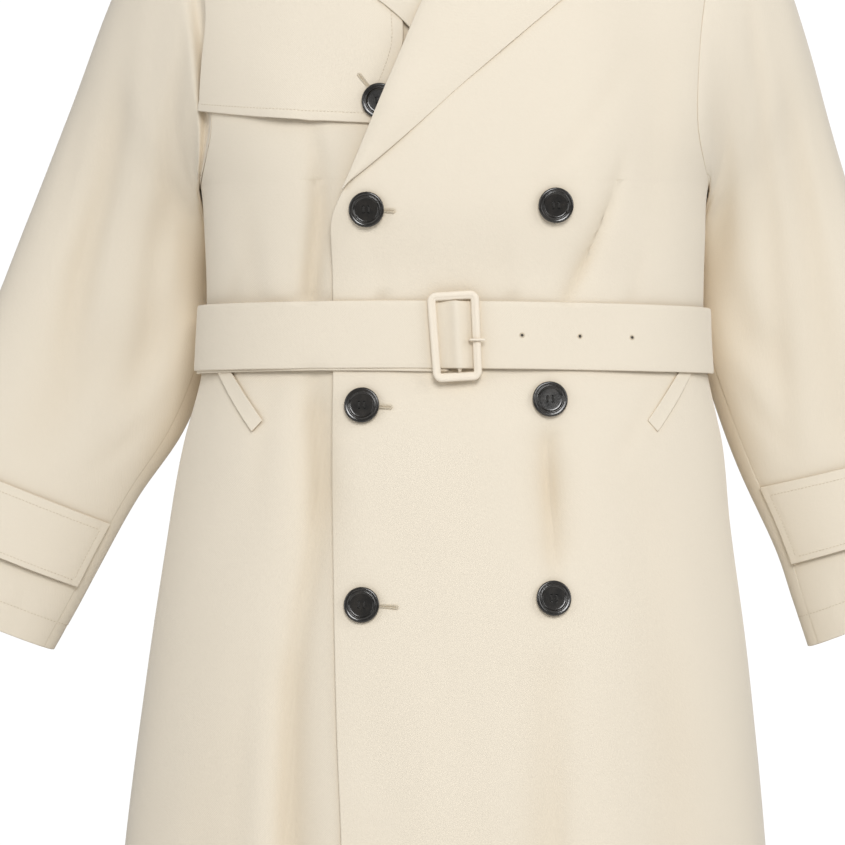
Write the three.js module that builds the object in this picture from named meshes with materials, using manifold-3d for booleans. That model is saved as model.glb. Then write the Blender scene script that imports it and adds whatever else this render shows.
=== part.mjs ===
// A double-breasted belted trench coat, hollow and filled out, as on a wearer who isn't there.
// Millimetres, +Z up. The front faces -Y, and +X is the wearer's left.
// The origin lies on the shoulder line, midway between the two neck points of the shoulder seams.
import * as THREE from 'three';
import { mergeVertices } from 'three/addons/utils/BufferGeometryUtils.js';
import Module from 'manifold-3d';

const wasm = await Module();
wasm.setup();

const DEGREE = Math.PI / 180;

// Cloth
const WALL = 1.6; // a panel, or a two-ply piece pressed flat
const SEAM = 0.3; // left open between two pieces that are sewn together
const REST = 0.6; // between a piece and the faceted panel that it lies on
const PLY = REST + WALL; // what one more piece on a panel adds

// Main levels
const HEM = -1130;
const UNDERARM = -318;
const BELT_TOP = -421.5;
const BELT_WIDTH = 56;
const NECK_HALF = 75;
const SHOULDER_HALF = 243;
const SHOULDER_TIP = -58;
const SHOULDER_DROP = 150; // height over which the cloth rounds over the shoulder
const SHOULDER_ROUND = 2.2;
const EDGE = 0.0004; // how far under the shoulder line a panel's top edge is taken

// Cross-sections of the body: half width on the wearer's right and left, depth before and behind
// the shoulder line, and the exponent of the superellipse.
const SECTIONS = [
  { z: -1130, right: 314, left: 294, front: 176, back: 178, round: 2.2 },
  { z: -892, right: 288, left: 272, front: 157, back: 160, round: 2.2 },
  { z: -740, right: 269, left: 257, front: 143, back: 147, round: 2.25 },
  { z: -610, right: 249, left: 241, front: 131, back: 134, round: 2.3 },
  { z: -541, right: 236.5, left: 234, front: 125, back: 124, round: 2.35 },
  { z: -485, right: 221.5, left: 222, front: 118.5, back: 111, round: 2.4 },
  { z: -450, right: 218, left: 218, front: 118, back: 108, round: 2.4 },
  { z: -418, right: 216.5, left: 217.5, front: 119, back: 110, round: 2.4 },
  { z: -366, right: 218.5, left: 219, front: 123, back: 122, round: 2.4 },
  { z: -318, right: 222, left: 221, front: 125, back: 130, round: 2.4 },
  { z: -265, right: 236, left: 235, front: 124, back: 135, round: 2.4 },
  { z: -210, right: 243, left: 242, front: 120, back: 136, round: 2.4 },
  { z: -168, right: 248, left: 248, front: 114, back: 132, round: 2.4 },
  { z: -110, right: 256, left: 256, front: 100, back: 121, round: 2.4 },
  { z: -50, right: 264, left: 264, front: 80, back: 102, round: 2.4 },
  { z: 0, right: 268, left: 268, front: 62, back: 82, round: 2.4 },
  { z: 40, right: 270, left: 270, front: 52, back: 66, round: 2.4 },
];

// Free edge and roll line of a front: distance past the centre (negative) or back from it, by height.
const FRONT_EDGE = [
  { z: -1130, x: -92 },
  { z: -874, x: -95 },
  { z: -790, x: -98.5 },
  { z: -690, x: -101 },
  { z: -540, x: -102.3 },
  { z: -369, x: -102.3 },
  { z: -347, x: -99.8 },
  { z: -318, x: -88 },
  { z: -269, x: -68 },
  { z: -210, x: -43.6 },
  { z: -167, x: -25 },
  { z: -105, x: 8 },
  { z: -48, x: 45 },
  { z: 0, x: 75 },
];

// Armhole seam, from the underarm to the shoulder tip, on the front and on the back.
const ARMHOLE = [
  { at: 0, front: 1, back: 1, z: -318 },
  { at: 0.1, front: 0.972, back: 0.976, z: -300 },
  { at: 0.23, front: 0.94, back: 0.955, z: -268 },
  { at: 0.42, front: 0.942, back: 0.962, z: -212 },
  { at: 0.58, front: 0.962, back: 0.98, z: -166 },
  { at: 0.76, front: 1.005, back: 1.018, z: -116 },
  { at: 0.9, front: 1.055, back: 1.062, z: -78 },
  { at: 1, front: 1.095, back: 1.095, z: -58 },
];

// Largest folds, as soft troughs in the cloth. Each has rows of height, x and depth, from its foot up.
const FOLDS = [
  { face: 'front', half: 14, rows: [[-419, -123, 5], [-396, -121, 6], [-327, -114, 4], [-276, -122, 0]] },
  {
    face: 'front',
    half: 20,
    rows: [[-1130, -132, 10], [-873, -136, 10], [-754, -137, 9], [-696, -130, 6], [-638, -118, 6],
      [-588, -114, 9], [-521, -117, 8], [-482, -120, 2], [-462, -121, 0]],
  },
  { face: 'front', half: 13, rows: [[-424, 92, 2], [-386, 108, 4], [-354, 121, 3], [-293, 142, 0]] },
  {
    face: 'front',
    half: 19,
    rows: [[-1130, 72, 7], [-873, 73, 6], [-740, 79, 4], [-700, 81, 0.5], [-660, 81, 0], [-620, 82, 6],
      [-575, 79, 8], [-540, 77, 5], [-515, 79, 0], [-480, 87, 0]],
  },
  { face: 'front', half: 26, rows: [[-1130, 200, 7], [-800, 184, 5], [-620, 168, 2], [-540, 152, 0]] },
  { face: 'front', half: 24, rows: [[-1130, -224, 5], [-860, -210, 4], [-660, -190, 0]] },
  { face: 'back', half: 22, rows: [[-1130, -176, 10], [-800, -150, 8], [-600, -128, 7], [-480, -118, 0]] },
  { face: 'back', half: 20, rows: [[-1130, -62, 8], [-800, -50, 6], [-600, -42, 6], [-480, -38, 0]] },
  { face: 'back', half: 21, rows: [[-1130, 58, 9], [-800, 50, 8], [-620, 46, 5], [-480, 40, 0]] },
  { face: 'back', half: 22, rows: [[-1130, 170, 8], [-800, 146, 7], [-620, 130, 6], [-480, 122, 0]] },
  { face: 'back', half: 17, rows: [[-424, -112, 4], [-360, -108, 5], [-270, -120, 0]] },
  { face: 'back', half: 17, rows: [[-424, 108, 5], [-350, 112, 5], [-250, 130, 0]] },
];

// Sleeve rings, from just past the armhole to the hem: the outer and inner ends of each ring as seen
// from the front, how far behind the shoulder line its middle lies, and its half depth.
const SLEEVE_RIGHT = [
  { k: 0, outX: 246, outZ: -60, inX: 223, inZ: -318, mid: 6, half: 70 },
  { k: 1, outX: 268, outZ: -82, inX: 224, inZ: -324, mid: 11, half: 65 },
  { k: 2, outX: 290, outZ: -118, inX: 224, inZ: -333, mid: 20, half: 62 },
  { k: 3, outX: 316, outZ: -181, inX: 221.5, inZ: -345, mid: 33, half: 60 },
  { k: 4, outX: 343, outZ: -248, inX: 216, inZ: -364, mid: 50, half: 57 },
  { k: 5, outX: 370, outZ: -316, inX: 213.5, inZ: -397, mid: 61, half: 53 },
  { k: 6, outX: 398, outZ: -386, inX: 215, inZ: -458, mid: 62, half: 47 },
  { k: 7, outX: 426, outZ: -457, inX: 241, inZ: -529, mid: 60, half: 41 },
  { k: 8, outX: 452, outZ: -522, inX: 281, inZ: -590, mid: 56, half: 37 },
  { k: 9, outX: 478, outZ: -586, inX: 315, inZ: -651, mid: 52, half: 34 },
  { k: 10, outX: 494, outZ: -627, inX: 336, inZ: -690, mid: 50, half: 32 },
  { k: 11, outX: 508.8, outZ: -663, inX: 355.8, inZ: -725, mid: 48, half: 31 },
];
const SLEEVE_LEFT = [
  { k: 0, outX: 246, outZ: -60, inX: 222, inZ: -318, mid: 6, half: 70 },
  { k: 1, outX: 267, outZ: -82, inX: 223, inZ: -324, mid: 11, half: 65 },
  { k: 2, outX: 289, outZ: -116, inX: 223, inZ: -333, mid: 20, half: 62 },
  { k: 3, outX: 312, outZ: -184, inX: 220, inZ: -345, mid: 33, half: 60 },
  { k: 4, outX: 333, outZ: -251, inX: 216, inZ: -364, mid: 50, half: 57 },
  { k: 5, outX: 354, outZ: -318, inX: 214, inZ: -393, mid: 61, half: 54 },
  { k: 6, outX: 376, outZ: -388, inX: 216, inZ: -450, mid: 62, half: 49 },
  { k: 7, outX: 398, outZ: -458, inX: 233, inZ: -506, mid: 60, half: 44 },
  { k: 8, outX: 420, outZ: -527, inX: 255, inZ: -565, mid: 56, half: 40 },
  { k: 9, outX: 440, outZ: -591, inX: 286, inZ: -634, mid: 52, half: 36 },
  { k: 10, outX: 450, outZ: -625, inX: 301, inZ: -680, mid: 50, half: 33 },
  { k: 11, outX: 461.7, outZ: -661, inX: 315, inZ: -722, mid: 48, half: 32 },
];
const SLEEVE_ROUND = 2.15;
const SLEEVE_RINGS = 11;
const ARMHOLE_EASE = 3; // rings over which the sleeve turns from the armhole's shape to its own
const FRONT_SEAM = 152.9; // degrees round a sleeve: 0 outer edge, 90 front, 180 inner edge
const BACK_SEAM = 220.5;
// Heights up the armhole of a panel's upper rows, from the underarm to the tip
const ARMHOLE_STOPS = [0.055, 0.12, 0.26, 0.4, 0.54, 0.66, 0.77, 0.86, 0.93, 0.975, 1];

// Creases of the sleeves, with rows of ring number, degrees round the ring and depth.
const SLEEVE_FOLDS = [
  { half: 15, rows: [[0.4, 118, 0], [1.6, 121, 5], [4, 128, 6], [6, 135, 0]] },
  { half: 13, rows: [[2, 62, 0], [4, 66, 5], [6, 74, 6], [7.5, 84, 4], [8.4, 90, 0]] },
  { half: 14, rows: [[5, 128, 0], [6.2, 118, 5], [7.4, 102, 0]] },
  { half: 15, rows: [[1, 262, 0], [3, 268, 5], [5, 262, 5], [7, 255, 0]] },
  { half: 14, rows: [[4.2, 300, 0], [6, 294, 4], [8, 286, 0]] },
];

// Deep fold of the wearer's right sleeve beside the armhole, where the sleeve turns back behind the body.
const VALLEY = { depth: 13, rings: 1.25, middle: 112, half: 44 };

// Outer edge of a lapel, by height on the coat, from its lowest point to its peak.
const LAPEL = [
  { t: 0, rollZ: -326, outX: -88, outZ: -321 },
  { t: 0.14, rollZ: -306, outX: -61, outZ: -299 },
  { t: 0.28, rollZ: -280, outX: -33, outZ: -275 },
  { t: 0.42, rollZ: -250, outX: 1, outZ: -244 },
  { t: 0.54, rollZ: -222, outX: 24, outZ: -224 },
  { t: 0.72, rollZ: -176, outX: 67, outZ: -187 },
  { t: 0.86, rollZ: -124, outX: 112, outZ: -150 },
  { t: 1, rollZ: -70, outX: 152, outZ: -124 },
];
const GORGE = { x: 34, z: -66 }; // where collar, lapel and roll line meet
const RIGHT_LAPEL_SHARE = 0.77; // the lapel underneath shows narrower

// Collar: its fold line and its outer edge, from the gorge round to the centre of the back.
const COLLAR = [
  { c: 0, foldX: 0, foldY: 66, foldZ: 16, outX: 0, outZ: -62 },
  { c: 0.3, foldX: 40, foldY: 54, foldZ: 20, outX: 66, outZ: -60 },
  { c: 0.52, foldX: 65, foldY: 28, foldZ: 25, outX: 122, outZ: -44 },
  { c: 0.66, foldX: 71, foldY: 2, foldZ: 22, outX: 150, outZ: -25 },
  { c: 0.8, foldX: 63, foldY: -34, foldZ: -8, outX: 148, outZ: -50 },
  { c: 1, foldX: 38, foldY: -81, foldZ: -59, outX: 126, outZ: -88 },
];

// Storm flap: its free edge towards the centre, from its lower corner to the shoulder.
const FLAP = [
  { t: 0, inX: -71, inZ: -271, outShare: 1.05, outZ: -255 },
  { t: 0.3, inX: -47, inZ: -214, outShare: 1.028, outZ: -212 },
  { t: 0.5, inX: -45, inZ: -180, outShare: 0.996, outZ: -170 },
  { t: 0.72, inX: -52, inZ: -116, outShare: 0.994, outZ: -118 },
  { t: 0.88, inX: -68, inZ: -54, outShare: 0.995, outZ: -80 },
  { t: 1, inX: -84, inZ: -6, outShare: 0.994, outZ: -60 },
];

// Pocket welts, on both sides: girth angle and height of the two ends of the mouth.
const WELT = { lowAngle: 60.5, lowZ: -526, highAngle: 81, highZ: -440, wide: 10 };

const CUFF_STRAP = { fromHem: 60, wide: 62, lift: 2.4 };

// Buttons
const BUTTON = { radius: 15, thick: 3.4, shank: 0.9, shankRadius: 4, rim: 2.4, dish: 1.1, seat: 0.2 };
const BUTTONS = [
  { name: 'button_right_1', x: -73.5, z: -344 },
  { name: 'button_right_2', x: -78.3, z: -509 },
  { name: 'button_right_3', x: -78.3, z: -676 },
  { name: 'button_left_1', x: 82, z: -340.5 },
  { name: 'button_left_2', x: 78.6, z: -504 },
  { name: 'button_left_3', x: 80.8, z: -671 },
];
const FLAP_BUTTON = { name: 'button_flap', x: -63.8, z: -253 };

// Buckle
const BUCKLE = {
  x: -0.5, z: -450.7, wide: 44, high: 75.5, opening: 29.5, openingHigh: 60.6, corner: 8, thick: 4, lean: 3.4,
};
const BAR = { radius: 1.6, x: 1.5, raise: 5 }; // the belt's free end rises over the bar
const PRONG = { radius: 1, z: -453.5, hole: 11.6, holeRadius: 2 };
const BELT_LIFT = 6.2; // outer face of the belt's first ply over the body's cloth
const TONGUE_END = 104; // degrees past the centre that the belt's free end reaches, on the wearer's right

const COLOURS = { cloth: 0xe9dfcb, cover: 0xeee3cd, horn: 0x241f17 };

const { lerp, clamp, smoothstep } = THREE.MathUtils;

function material(colour, roughness) {
  return new THREE.MeshStandardMaterial({ color: colour, roughness, metalness: 0, side: THREE.DoubleSide });
}

// Value of a table's column at a place between its rows, on a smooth curve through them.
function along(rows, key, column, at) {
  const last = rows.length - 1;
  const place = clamp(at, rows[0][key], rows[last][key]);
  let i = 0;
  while (i < last - 1 && place > rows[i + 1][key]) i += 1;
  const step = rows[i + 1][key] - rows[i][key];
  const u = (place - rows[i][key]) / step;
  const slope = (j) => {
    const a = Math.max(j - 1, 0);
    const b = Math.min(j + 1, last);
    return (rows[b][column] - rows[a][column]) / (rows[b][key] - rows[a][key]);
  };
  const from = rows[i][column];
  const to = rows[i + 1][column];
  const bend0 = slope(i) * step;
  const bend1 = slope(i + 1) * step;
  return from * (1 + 2 * u) * (1 - u) ** 2 + bend0 * u * (1 - u) ** 2
    + to * u * u * (3 - 2 * u) - bend1 * u * u * (1 - u);
}

// Depth of a soft trough at a place along it and across it.
function trough({ rows, half }, at, across) {
  const last = rows.length - 1;
  if (at < rows[0][0] || at > rows[last][0]) return 0;
  let i = 0;
  while (i < last - 1 && at > rows[i + 1][0]) i += 1;
  const [from, middle0, deep0] = rows[i];
  const [to, middle1, deep1] = rows[i + 1];
  const share = smoothstep((at - from) / (to - from), 0, 1);
  const aside = (across - lerp(middle0, middle1, (at - from) / (to - from))) / half;
  return lerp(deep0, deep1, share) * Math.exp(-(aside ** 2));
}

// Depth of all folds at a place on the front or back.
function foldDepth(x, z, face) {
  return FOLDS.filter((fold) => fold.face === face).reduce((sum, fold) => sum + trough(fold, z, x), 0);
}

function section(z) {
  return {
    right: along(SECTIONS, 'z', 'right', z),
    left: along(SECTIONS, 'z', 'left', z),
    front: along(SECTIONS, 'z', 'front', z),
    back: along(SECTIONS, 'z', 'back', z),
    round: along(SECTIONS, 'z', 'round', z),
  };
}

// Point of the body's cloth at a girth angle, where 0 is the centre front and +90 degrees the wearer's left.
function bodyPoint(angle, z) {
  const cut = section(z);
  const sine = Math.sin(angle);
  const cosine = Math.cos(angle);
  const half = sine < 0 ? cut.right : cut.left;
  const depth = cosine > 0 ? cut.front : cut.back;
  const sum = (Math.abs(sine) / half) ** cut.round + (Math.abs(cosine) / depth) ** cut.round;
  const reach = sum ** (-1 / cut.round);
  const folded = reach - foldDepth(reach * sine, z, cosine > 0 ? 'front' : 'back') * Math.abs(cosine);
  return new THREE.Vector3(folded * sine, -folded * cosine, z);
}

function angleAt(x, z) {
  let low = -Math.PI / 2;
  let high = Math.PI / 2;
  for (let i = 0; i < 40; i += 1) {
    const middle = (low + high) / 2;
    if (bodyPoint(middle, z).x < x) low = middle;
    else high = middle;
  }
  return (low + high) / 2;
}

// Height of the shoulder seam, carried on over the neck.
function shoulderHeight(x) {
  const slope = SHOULDER_TIP / (SHOULDER_HALF - NECK_HALF);
  return (Math.abs(x) - NECK_HALF) * slope;
}

// Point of the body's cloth at a place seen from the front: face -1 is the front, +1 the back.
function skin(x, z, face) {
  const cut = section(z);
  const half = x < 0 ? cut.right : cut.left;
  const depth = face < 0 ? cut.front : cut.back;
  const flat = depth * Math.max(0, 1 - (Math.abs(x) / half) ** cut.round) ** (1 / cut.round);
  const fall = clamp((shoulderHeight(x) - z) / SHOULDER_DROP, 0, 1);
  const round = (1 - (1 - fall) ** SHOULDER_ROUND) ** (1 / SHOULDER_ROUND);
  const fold = foldDepth(x, z, face < 0 ? 'front' : 'back');
  return new THREE.Vector3(x, face * Math.max(flat * round - fold * round, 0), z);
}

// How far the front on top stands out: over the front underneath, and over its lapel and button too.
function overLift(x, z) {
  const chest = smoothstep(z, -405, -335);
  const lift = lerp(3.4, 10.3, chest) + 2 * Math.exp(-(((x + 50) / 26) ** 2 + ((z + 253) / 30) ** 2));
  const towardsSide = 1 - smoothstep(x, lerp(105, 98, chest), 172);
  const towardsNeck = 1 - smoothstep(z, -100, -46);
  return lift * towardsSide * towardsNeck;
}

function flapLift(x, z) {
  const middle = Math.exp(-(((x + 148) / 38) ** 2));
  return PLY + 0.8 + 2.6 * middle * (1 - smoothstep(z, -262, -205));
}

// Outward unit normal of a surface given by a function of two parameters.
function normalOf(surface, u, v, turn, [v0, v1], [uStep, vStep]) {
  const du = surface(u + uStep, v).sub(surface(u - uStep, v));
  const dv = surface(u, Math.min(v + vStep, v1)).sub(surface(u, Math.max(v - vStep, v0)));
  return du.cross(dv).multiplyScalar(turn).normalize();
}

// A place on the front, moved out along the cloth's normal.
function onSkin(x, z, face, out) {
  const step = 0.4;
  const zTop = Math.min(z + step, shoulderHeight(x) - 0.05);
  const across = skin(x + step, z, face).sub(skin(x - step, z, face));
  const up = skin(x, zTop, face).sub(skin(x, z - step, face));
  const normal = across.cross(up).multiplyScalar(-face).normalize();
  return skin(x, z, face).addScaledVector(normal, out);
}

function onBody(angle, z, out) {
  const around = bodyPoint(angle + 0.01, z).sub(bodyPoint(angle - 0.01, z));
  const up = bodyPoint(angle, z + 2).sub(bodyPoint(angle, z - 2));
  return bodyPoint(angle, z).addScaledVector(around.cross(up).normalize(), out);
}

// Closed wall between an outer grid of points and the same grid moved in. rows[i][j] = { outer, inner }.
function wallGeometry(rows) {
  const high = rows.length;
  const wide = rows[0].length;
  const position = [];
  rows.forEach((row) => row.forEach(({ outer }) => position.push(outer.x, outer.y, outer.z)));
  rows.forEach((row) => row.forEach(({ inner }) => position.push(inner.x, inner.y, inner.z)));
  const layer = high * wide;
  const index = [];
  const quad = (a, b, c, d) => index.push(a, b, c, a, c, d);
  for (let i = 0; i < high - 1; i += 1) {
    for (let j = 0; j < wide - 1; j += 1) {
      const a = i * wide + j;
      quad(a, a + 1, a + wide + 1, a + wide);
      quad(layer + a + wide, layer + a + wide + 1, layer + a + 1, layer + a);
    }
  }
  for (let j = 0; j < wide - 1; j += 1) {
    const top = (high - 1) * wide + j;
    quad(layer + j, layer + j + 1, j + 1, j);
    quad(top, top + 1, layer + top + 1, layer + top);
  }
  for (let i = 0; i < high - 1; i += 1) {
    const start = i * wide;
    const end = start + wide - 1;
    quad(start, start + wide, layer + start + wide, layer + start);
    quad(layer + end, layer + end + wide, end + wide, end);
  }
  const geometry = new THREE.BufferGeometry();
  geometry.setAttribute('position', new THREE.Float32BufferAttribute(position, 3));
  geometry.setIndex(index);
  return geometry;
}

// Turns a geometry's faces out if its signed volume says that they point in.
function facedOut(geometry) {
  const p = geometry.getAttribute('position');
  const ids = geometry.getIndex().array;
  const [a, b, c] = [new THREE.Vector3(), new THREE.Vector3(), new THREE.Vector3()];
  let volume = 0;
  for (let i = 0; i < ids.length; i += 3) {
    a.fromBufferAttribute(p, ids[i]);
    b.fromBufferAttribute(p, ids[i + 1]);
    c.fromBufferAttribute(p, ids[i + 2]);
    volume += a.dot(b.cross(c));
  }
  if (volume < 0) {
    for (let i = 0; i < ids.length; i += 3) [ids[i + 1], ids[i + 2]] = [ids[i + 2], ids[i + 1]];
  }
  return geometry;
}

// A cloth piece over a grid of parameters, with its own outward lift at each place.
function clothPiece(name, { us, vs, surface, turn = 1, lift = () => 0, thick = WALL, upright = false }) {
  const limits = [vs[0], vs[vs.length - 1]];
  const finest = [(us[us.length - 1] - us[0]) / 2000, (limits[1] - limits[0]) / 2000];
  const rows = vs.map((v, i) => us.map((u) => {
    const normal = normalOf(surface, u, v, turn, limits, finest);
    if (upright && i === vs.length - 1) normal.setY(0).normalize();
    const base = surface(u, v);
    const out = lift(u, v, base);
    return {
      outer: base.clone().addScaledVector(normal, out),
      inner: base.clone().addScaledVector(normal, out - thick),
    };
  }));
  const mesh = new THREE.Mesh(facedOut(wallGeometry(rows)), material(COLOURS.cloth, 0.85));
  mesh.name = name;
  return mesh;
}

function steps(from, to, count) {
  return Array.from({ length: count + 1 }, (_, i) => lerp(from, to, i / count));
}

// Steps from 0 to 1 that lie closer together round a place.
function crowded(count, centre) {
  const turn = 2 * Math.PI;
  const pull = 0.42 / turn;
  return steps(0, 1, count).map((t) => t - pull * (Math.sin(turn * (t - centre)) + Math.sin(turn * centre)));
}

// Rows of a body panel: 0 at the hem, 1 at the underarm and 2 at the shoulder seam.
const LOWER_LEVELS = [-1130, -1050, -970, -892, -820, -752, -696, -645, -596, -556, -520, -485, -450, -418, -384,
  -350, -318];
const LOWER_ROWS = LOWER_LEVELS.map((_, i) => i / (LOWER_LEVELS.length - 1));
const UPPER_ROWS = ARMHOLE_STOPS.map((at) => 1 + at);
const BODY_ROWS = [...LOWER_ROWS, ...UPPER_ROWS];

function levelOf(row) {
  const place = clamp(row, 0, 1) * (LOWER_LEVELS.length - 1);
  const i = Math.min(Math.floor(place), LOWER_LEVELS.length - 2);
  return lerp(LOWER_LEVELS[i], LOWER_LEVELS[i + 1], place - i);
}

// A point of the armhole seam: at 0 the underarm and at 1 the shoulder tip.
function armholeXZ(side, face, at) {
  const base = side > 0 ? lerp(221, 222, at) : 222;
  return {
    x: side * base * along(ARMHOLE, 'at', face < 0 ? 'front' : 'back', at),
    z: along(ARMHOLE, 'at', 'z', at),
  };
}

function frontSurface(side) {
  const edgeAngle = (z) => angleAt(side * along(FRONT_EDGE, 'z', 'x', z), z);
  const junctionEdge = edgeAngle(UNDERARM);
  const sideAngle = side * (90 * DEGREE);
  const widest = bodyPoint(sideAngle, UNDERARM).x;
  const edgeX = bodyPoint(junctionEdge, UNDERARM).x;
  const sideGap = side * (SEAM / 2 / 222);
  return (u, row) => {
    if (row <= 1) {
      const z = levelOf(row);
      return bodyPoint(lerp(edgeAngle(z), sideAngle - sideGap, u), z);
    }
    const share = (bodyPoint(lerp(junctionEdge, sideAngle - sideGap, u), UNDERARM).x - edgeX) / (widest - edgeX);
    const at = row - 1;
    const arm = armholeXZ(side, -1, at);
    const rollZ = lerp(UNDERARM, 0, at ** 0.93);
    const rollX = side * along(FRONT_EDGE, 'z', 'x', rollZ);
    const x = lerp(rollX, arm.x, share);
    const z = lerp(rollZ, arm.z, share);
    return skin(x, Math.min(z, shoulderHeight(x) - EDGE), -1).setY(Math.min(skin(x, z, -1).y, -SEAM / 2));
  };
}

function front(side) {
  const surface = frontSurface(side);
  return clothPiece(side > 0 ? 'front_left' : 'front_right', {
    us: crowded(20, side > 0 ? 0.53 : 0.63),
    vs: BODY_ROWS,
    surface,
    turn: side,
    upright: true,
    lift: (u, v, base) => (side > 0 ? overLift(base.x, base.z) : 0),
  });
}

// Top edge of the back: the shoulder seams, and the neck curve between them.
function backTop(x) {
  if (Math.abs(x) >= NECK_HALF) return shoulderHeight(x);
  return -21 * (1 - (x / NECK_HALF) ** 2);
}

function backSurface() {
  const gap = SEAM / 2 / 222;
  const from = 90 * DEGREE + gap;
  const to = 270 * DEGREE - gap;
  const widestLeft = bodyPoint(from, UNDERARM).x;
  const widestRight = -bodyPoint(to, UNDERARM).x;
  return (u, row) => {
    if (row <= 1) return bodyPoint(lerp(from, to, u), levelOf(row));
    const x0 = bodyPoint(lerp(from, to, u), UNDERARM).x;
    const share = x0 > 0 ? x0 / widestLeft : x0 / widestRight;
    const at = row - 1;
    const arm = armholeXZ(Math.sign(share) || 1, 1, at);
    const x = Math.abs(share) * arm.x;
    const z = arm.z + (backTop(x) - SHOULDER_TIP) * at ** 1.6;
    const point = skin(x, Math.min(z, shoulderHeight(x) - EDGE), 1);
    return point.setY(Math.max(point.y, SEAM / 2));
  };
}

function back() {
  return clothPiece('back', { us: steps(0, 1, 23), vs: BODY_ROWS, surface: backSurface(), upright: true });
}

// A point of a sleeve ring, from the ring's own ellipse and, near the armhole, the armhole seam.
function sleevePoint(side, degrees, k) {
  const table = side > 0 ? SLEEVE_LEFT : SLEEVE_RIGHT;
  const ring = (column) => along(table, 'k', column, k);
  const [outX, outZ, inX, inZ] = [ring('outX'), ring('outZ'), ring('inX'), ring('inZ')];
  const half = Math.hypot(outX - inX, outZ - inZ) / 2;
  const angle = degrees * DEGREE;
  const soften = (value) => Math.sign(value) * Math.abs(value) ** (2 / SLEEVE_ROUND);
  const crease = SLEEVE_FOLDS.reduce(
    (sum, fold) => sum + trough(fold, k, (degrees + 360) % 360),
    0,
  );
  const share = soften(Math.cos(angle)) * (1 - crease / half / 2);
  const aside = (degrees - VALLEY.middle) / VALLEY.half;
  const valley = side < 0 && k < VALLEY.rings
    ? VALLEY.depth * Math.sin((Math.PI * k) / VALLEY.rings) ** 2 * Math.exp(-(aside ** 2))
    : 0;
  const deep = (ring('half') - crease) * soften(Math.sin(angle));
  const own = new THREE.Vector3(
    side * ((outX + inX) / 2 + ((outX - inX) / 2) * share),
    ring('mid') - deep,
    (outZ + inZ) / 2 + ((outZ - inZ) / 2) * share,
  );
  const ease = smoothstep(k, 0, ARMHOLE_EASE);
  if (ease >= 1) return own;
  const face = Math.sin(angle) >= 0 ? -1 : 1;
  const at = (1 + Math.cos(angle)) / 2;
  const arm = armholeXZ(side, face, at);
  const height = Math.min(arm.z, shoulderHeight(arm.x) - EDGE);
  const seam = skin(arm.x, height, face);
  const outward = new THREE.Vector3(side * (SEAM + 0.4 + 1.2 * k), 0, 0);
  return seam.add(outward).lerp(own, ease ** 0.75).add(new THREE.Vector3(0, valley, 0));
}

// Degrees round a sleeve where its rings meet the armhole's stops.
const STOP_DEGREES = ARMHOLE_STOPS.map((at) => Math.acos(2 * at - 1) / DEGREE);

function sleevePanel(side, part) {
  const gap = 0.14;
  const [front, rear] = [FRONT_SEAM - gap, BACK_SEAM - 360 + gap];
  const middle = part === 'top' ? 0 : 180;
  const tuck = part === 'top' ? 0.016 : 0.34; // draws the seam's edges apart where they crowd at the underarm
  const outer = STOP_DEGREES.filter((degrees) => degrees < front - 1);
  const us = part === 'top'
    ? [rear, ...outer.slice(1).map((degrees) => -degrees), ...outer.slice(0, -1).reverse(), front]
    : [FRONT_SEAM + gap, 166, 180, 194, 360 - STOP_DEGREES[0], BACK_SEAM - gap];
  return clothPiece(`sleeve_${side > 0 ? 'left' : 'right'}_${part}`, {
    us,
    vs: [0, 0.4, 0.9, 1.5, 2.3, 3.1, 4, 4.9, 5.7, 6.5, 7.3, 8.1, 9, 10, SLEEVE_RINGS],
    surface: (degrees, k) => sleevePoint(side, lerp(degrees, middle, tuck * Math.exp(-k / 1.4)), k),
    turn: side,
  });
}

// Ring number at a distance up from the sleeve's hem, along its outer edge.
function ringAbove(side, distance) {
  let k = SLEEVE_RINGS;
  let gone = 0;
  let last = sleevePoint(side, 0, k);
  while (gone < distance) {
    k -= 0.02;
    const next = sleevePoint(side, 0, k);
    gone += next.distanceTo(last);
    last = next;
  }
  return k;
}

function cuffStrap(side) {
  const low = ringAbove(side, CUFF_STRAP.fromHem);
  const high = ringAbove(side, CUFF_STRAP.fromHem + CUFF_STRAP.wide);
  const from = BACK_SEAM - 360 + 2;
  const to = FRONT_SEAM - 2;
  return clothPiece(`cuff_strap_${side > 0 ? 'left' : 'right'}`, {
    us: steps(from, to, 17),
    vs: [high, (high + low) / 2, low],
    surface: (degrees, k) => sleevePoint(side, degrees, k),
    turn: side,
    lift: (degrees) => PLY + 0.5 + CUFF_STRAP.lift * Math.sin(Math.PI * (degrees - from) / (to - from)),
  });
}

function lapelXZ(side, share, t) {
  const rollZ = along(LAPEL, 't', 'rollZ', t);
  const rollX = along(FRONT_EDGE, 'z', 'x', rollZ);
  const full = side > 0 ? 1 : lerp(RIGHT_LAPEL_SHARE, 1, smoothstep(t, 0.72, 1));
  const x = rollX + (along(LAPEL, 't', 'outX', t) - rollX) * share * full;
  const z = rollZ + (along(LAPEL, 't', 'outZ', t) - rollZ) * share * full;
  return { x: side * x, z };
}

// A lapel turned back on its front, standing highest at its roll.
function lapel(side) {
  const roll = (share) => 0.5 + 1.8 * (1 - share) ** 2;
  return clothPiece(side > 0 ? 'lapel_left' : 'lapel_right', {
    us: steps(0, 1, 6),
    vs: steps(0, 1, 11),
    surface: (share, t) => {
      const { x, z } = lapelXZ(side, share, t);
      const under = side > 0 ? overLift(x, z) : flapLift(-200, -100);
      return onSkin(x, z, -1, under + PLY + roll(share));
    },
    turn: side,
  });
}

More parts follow.
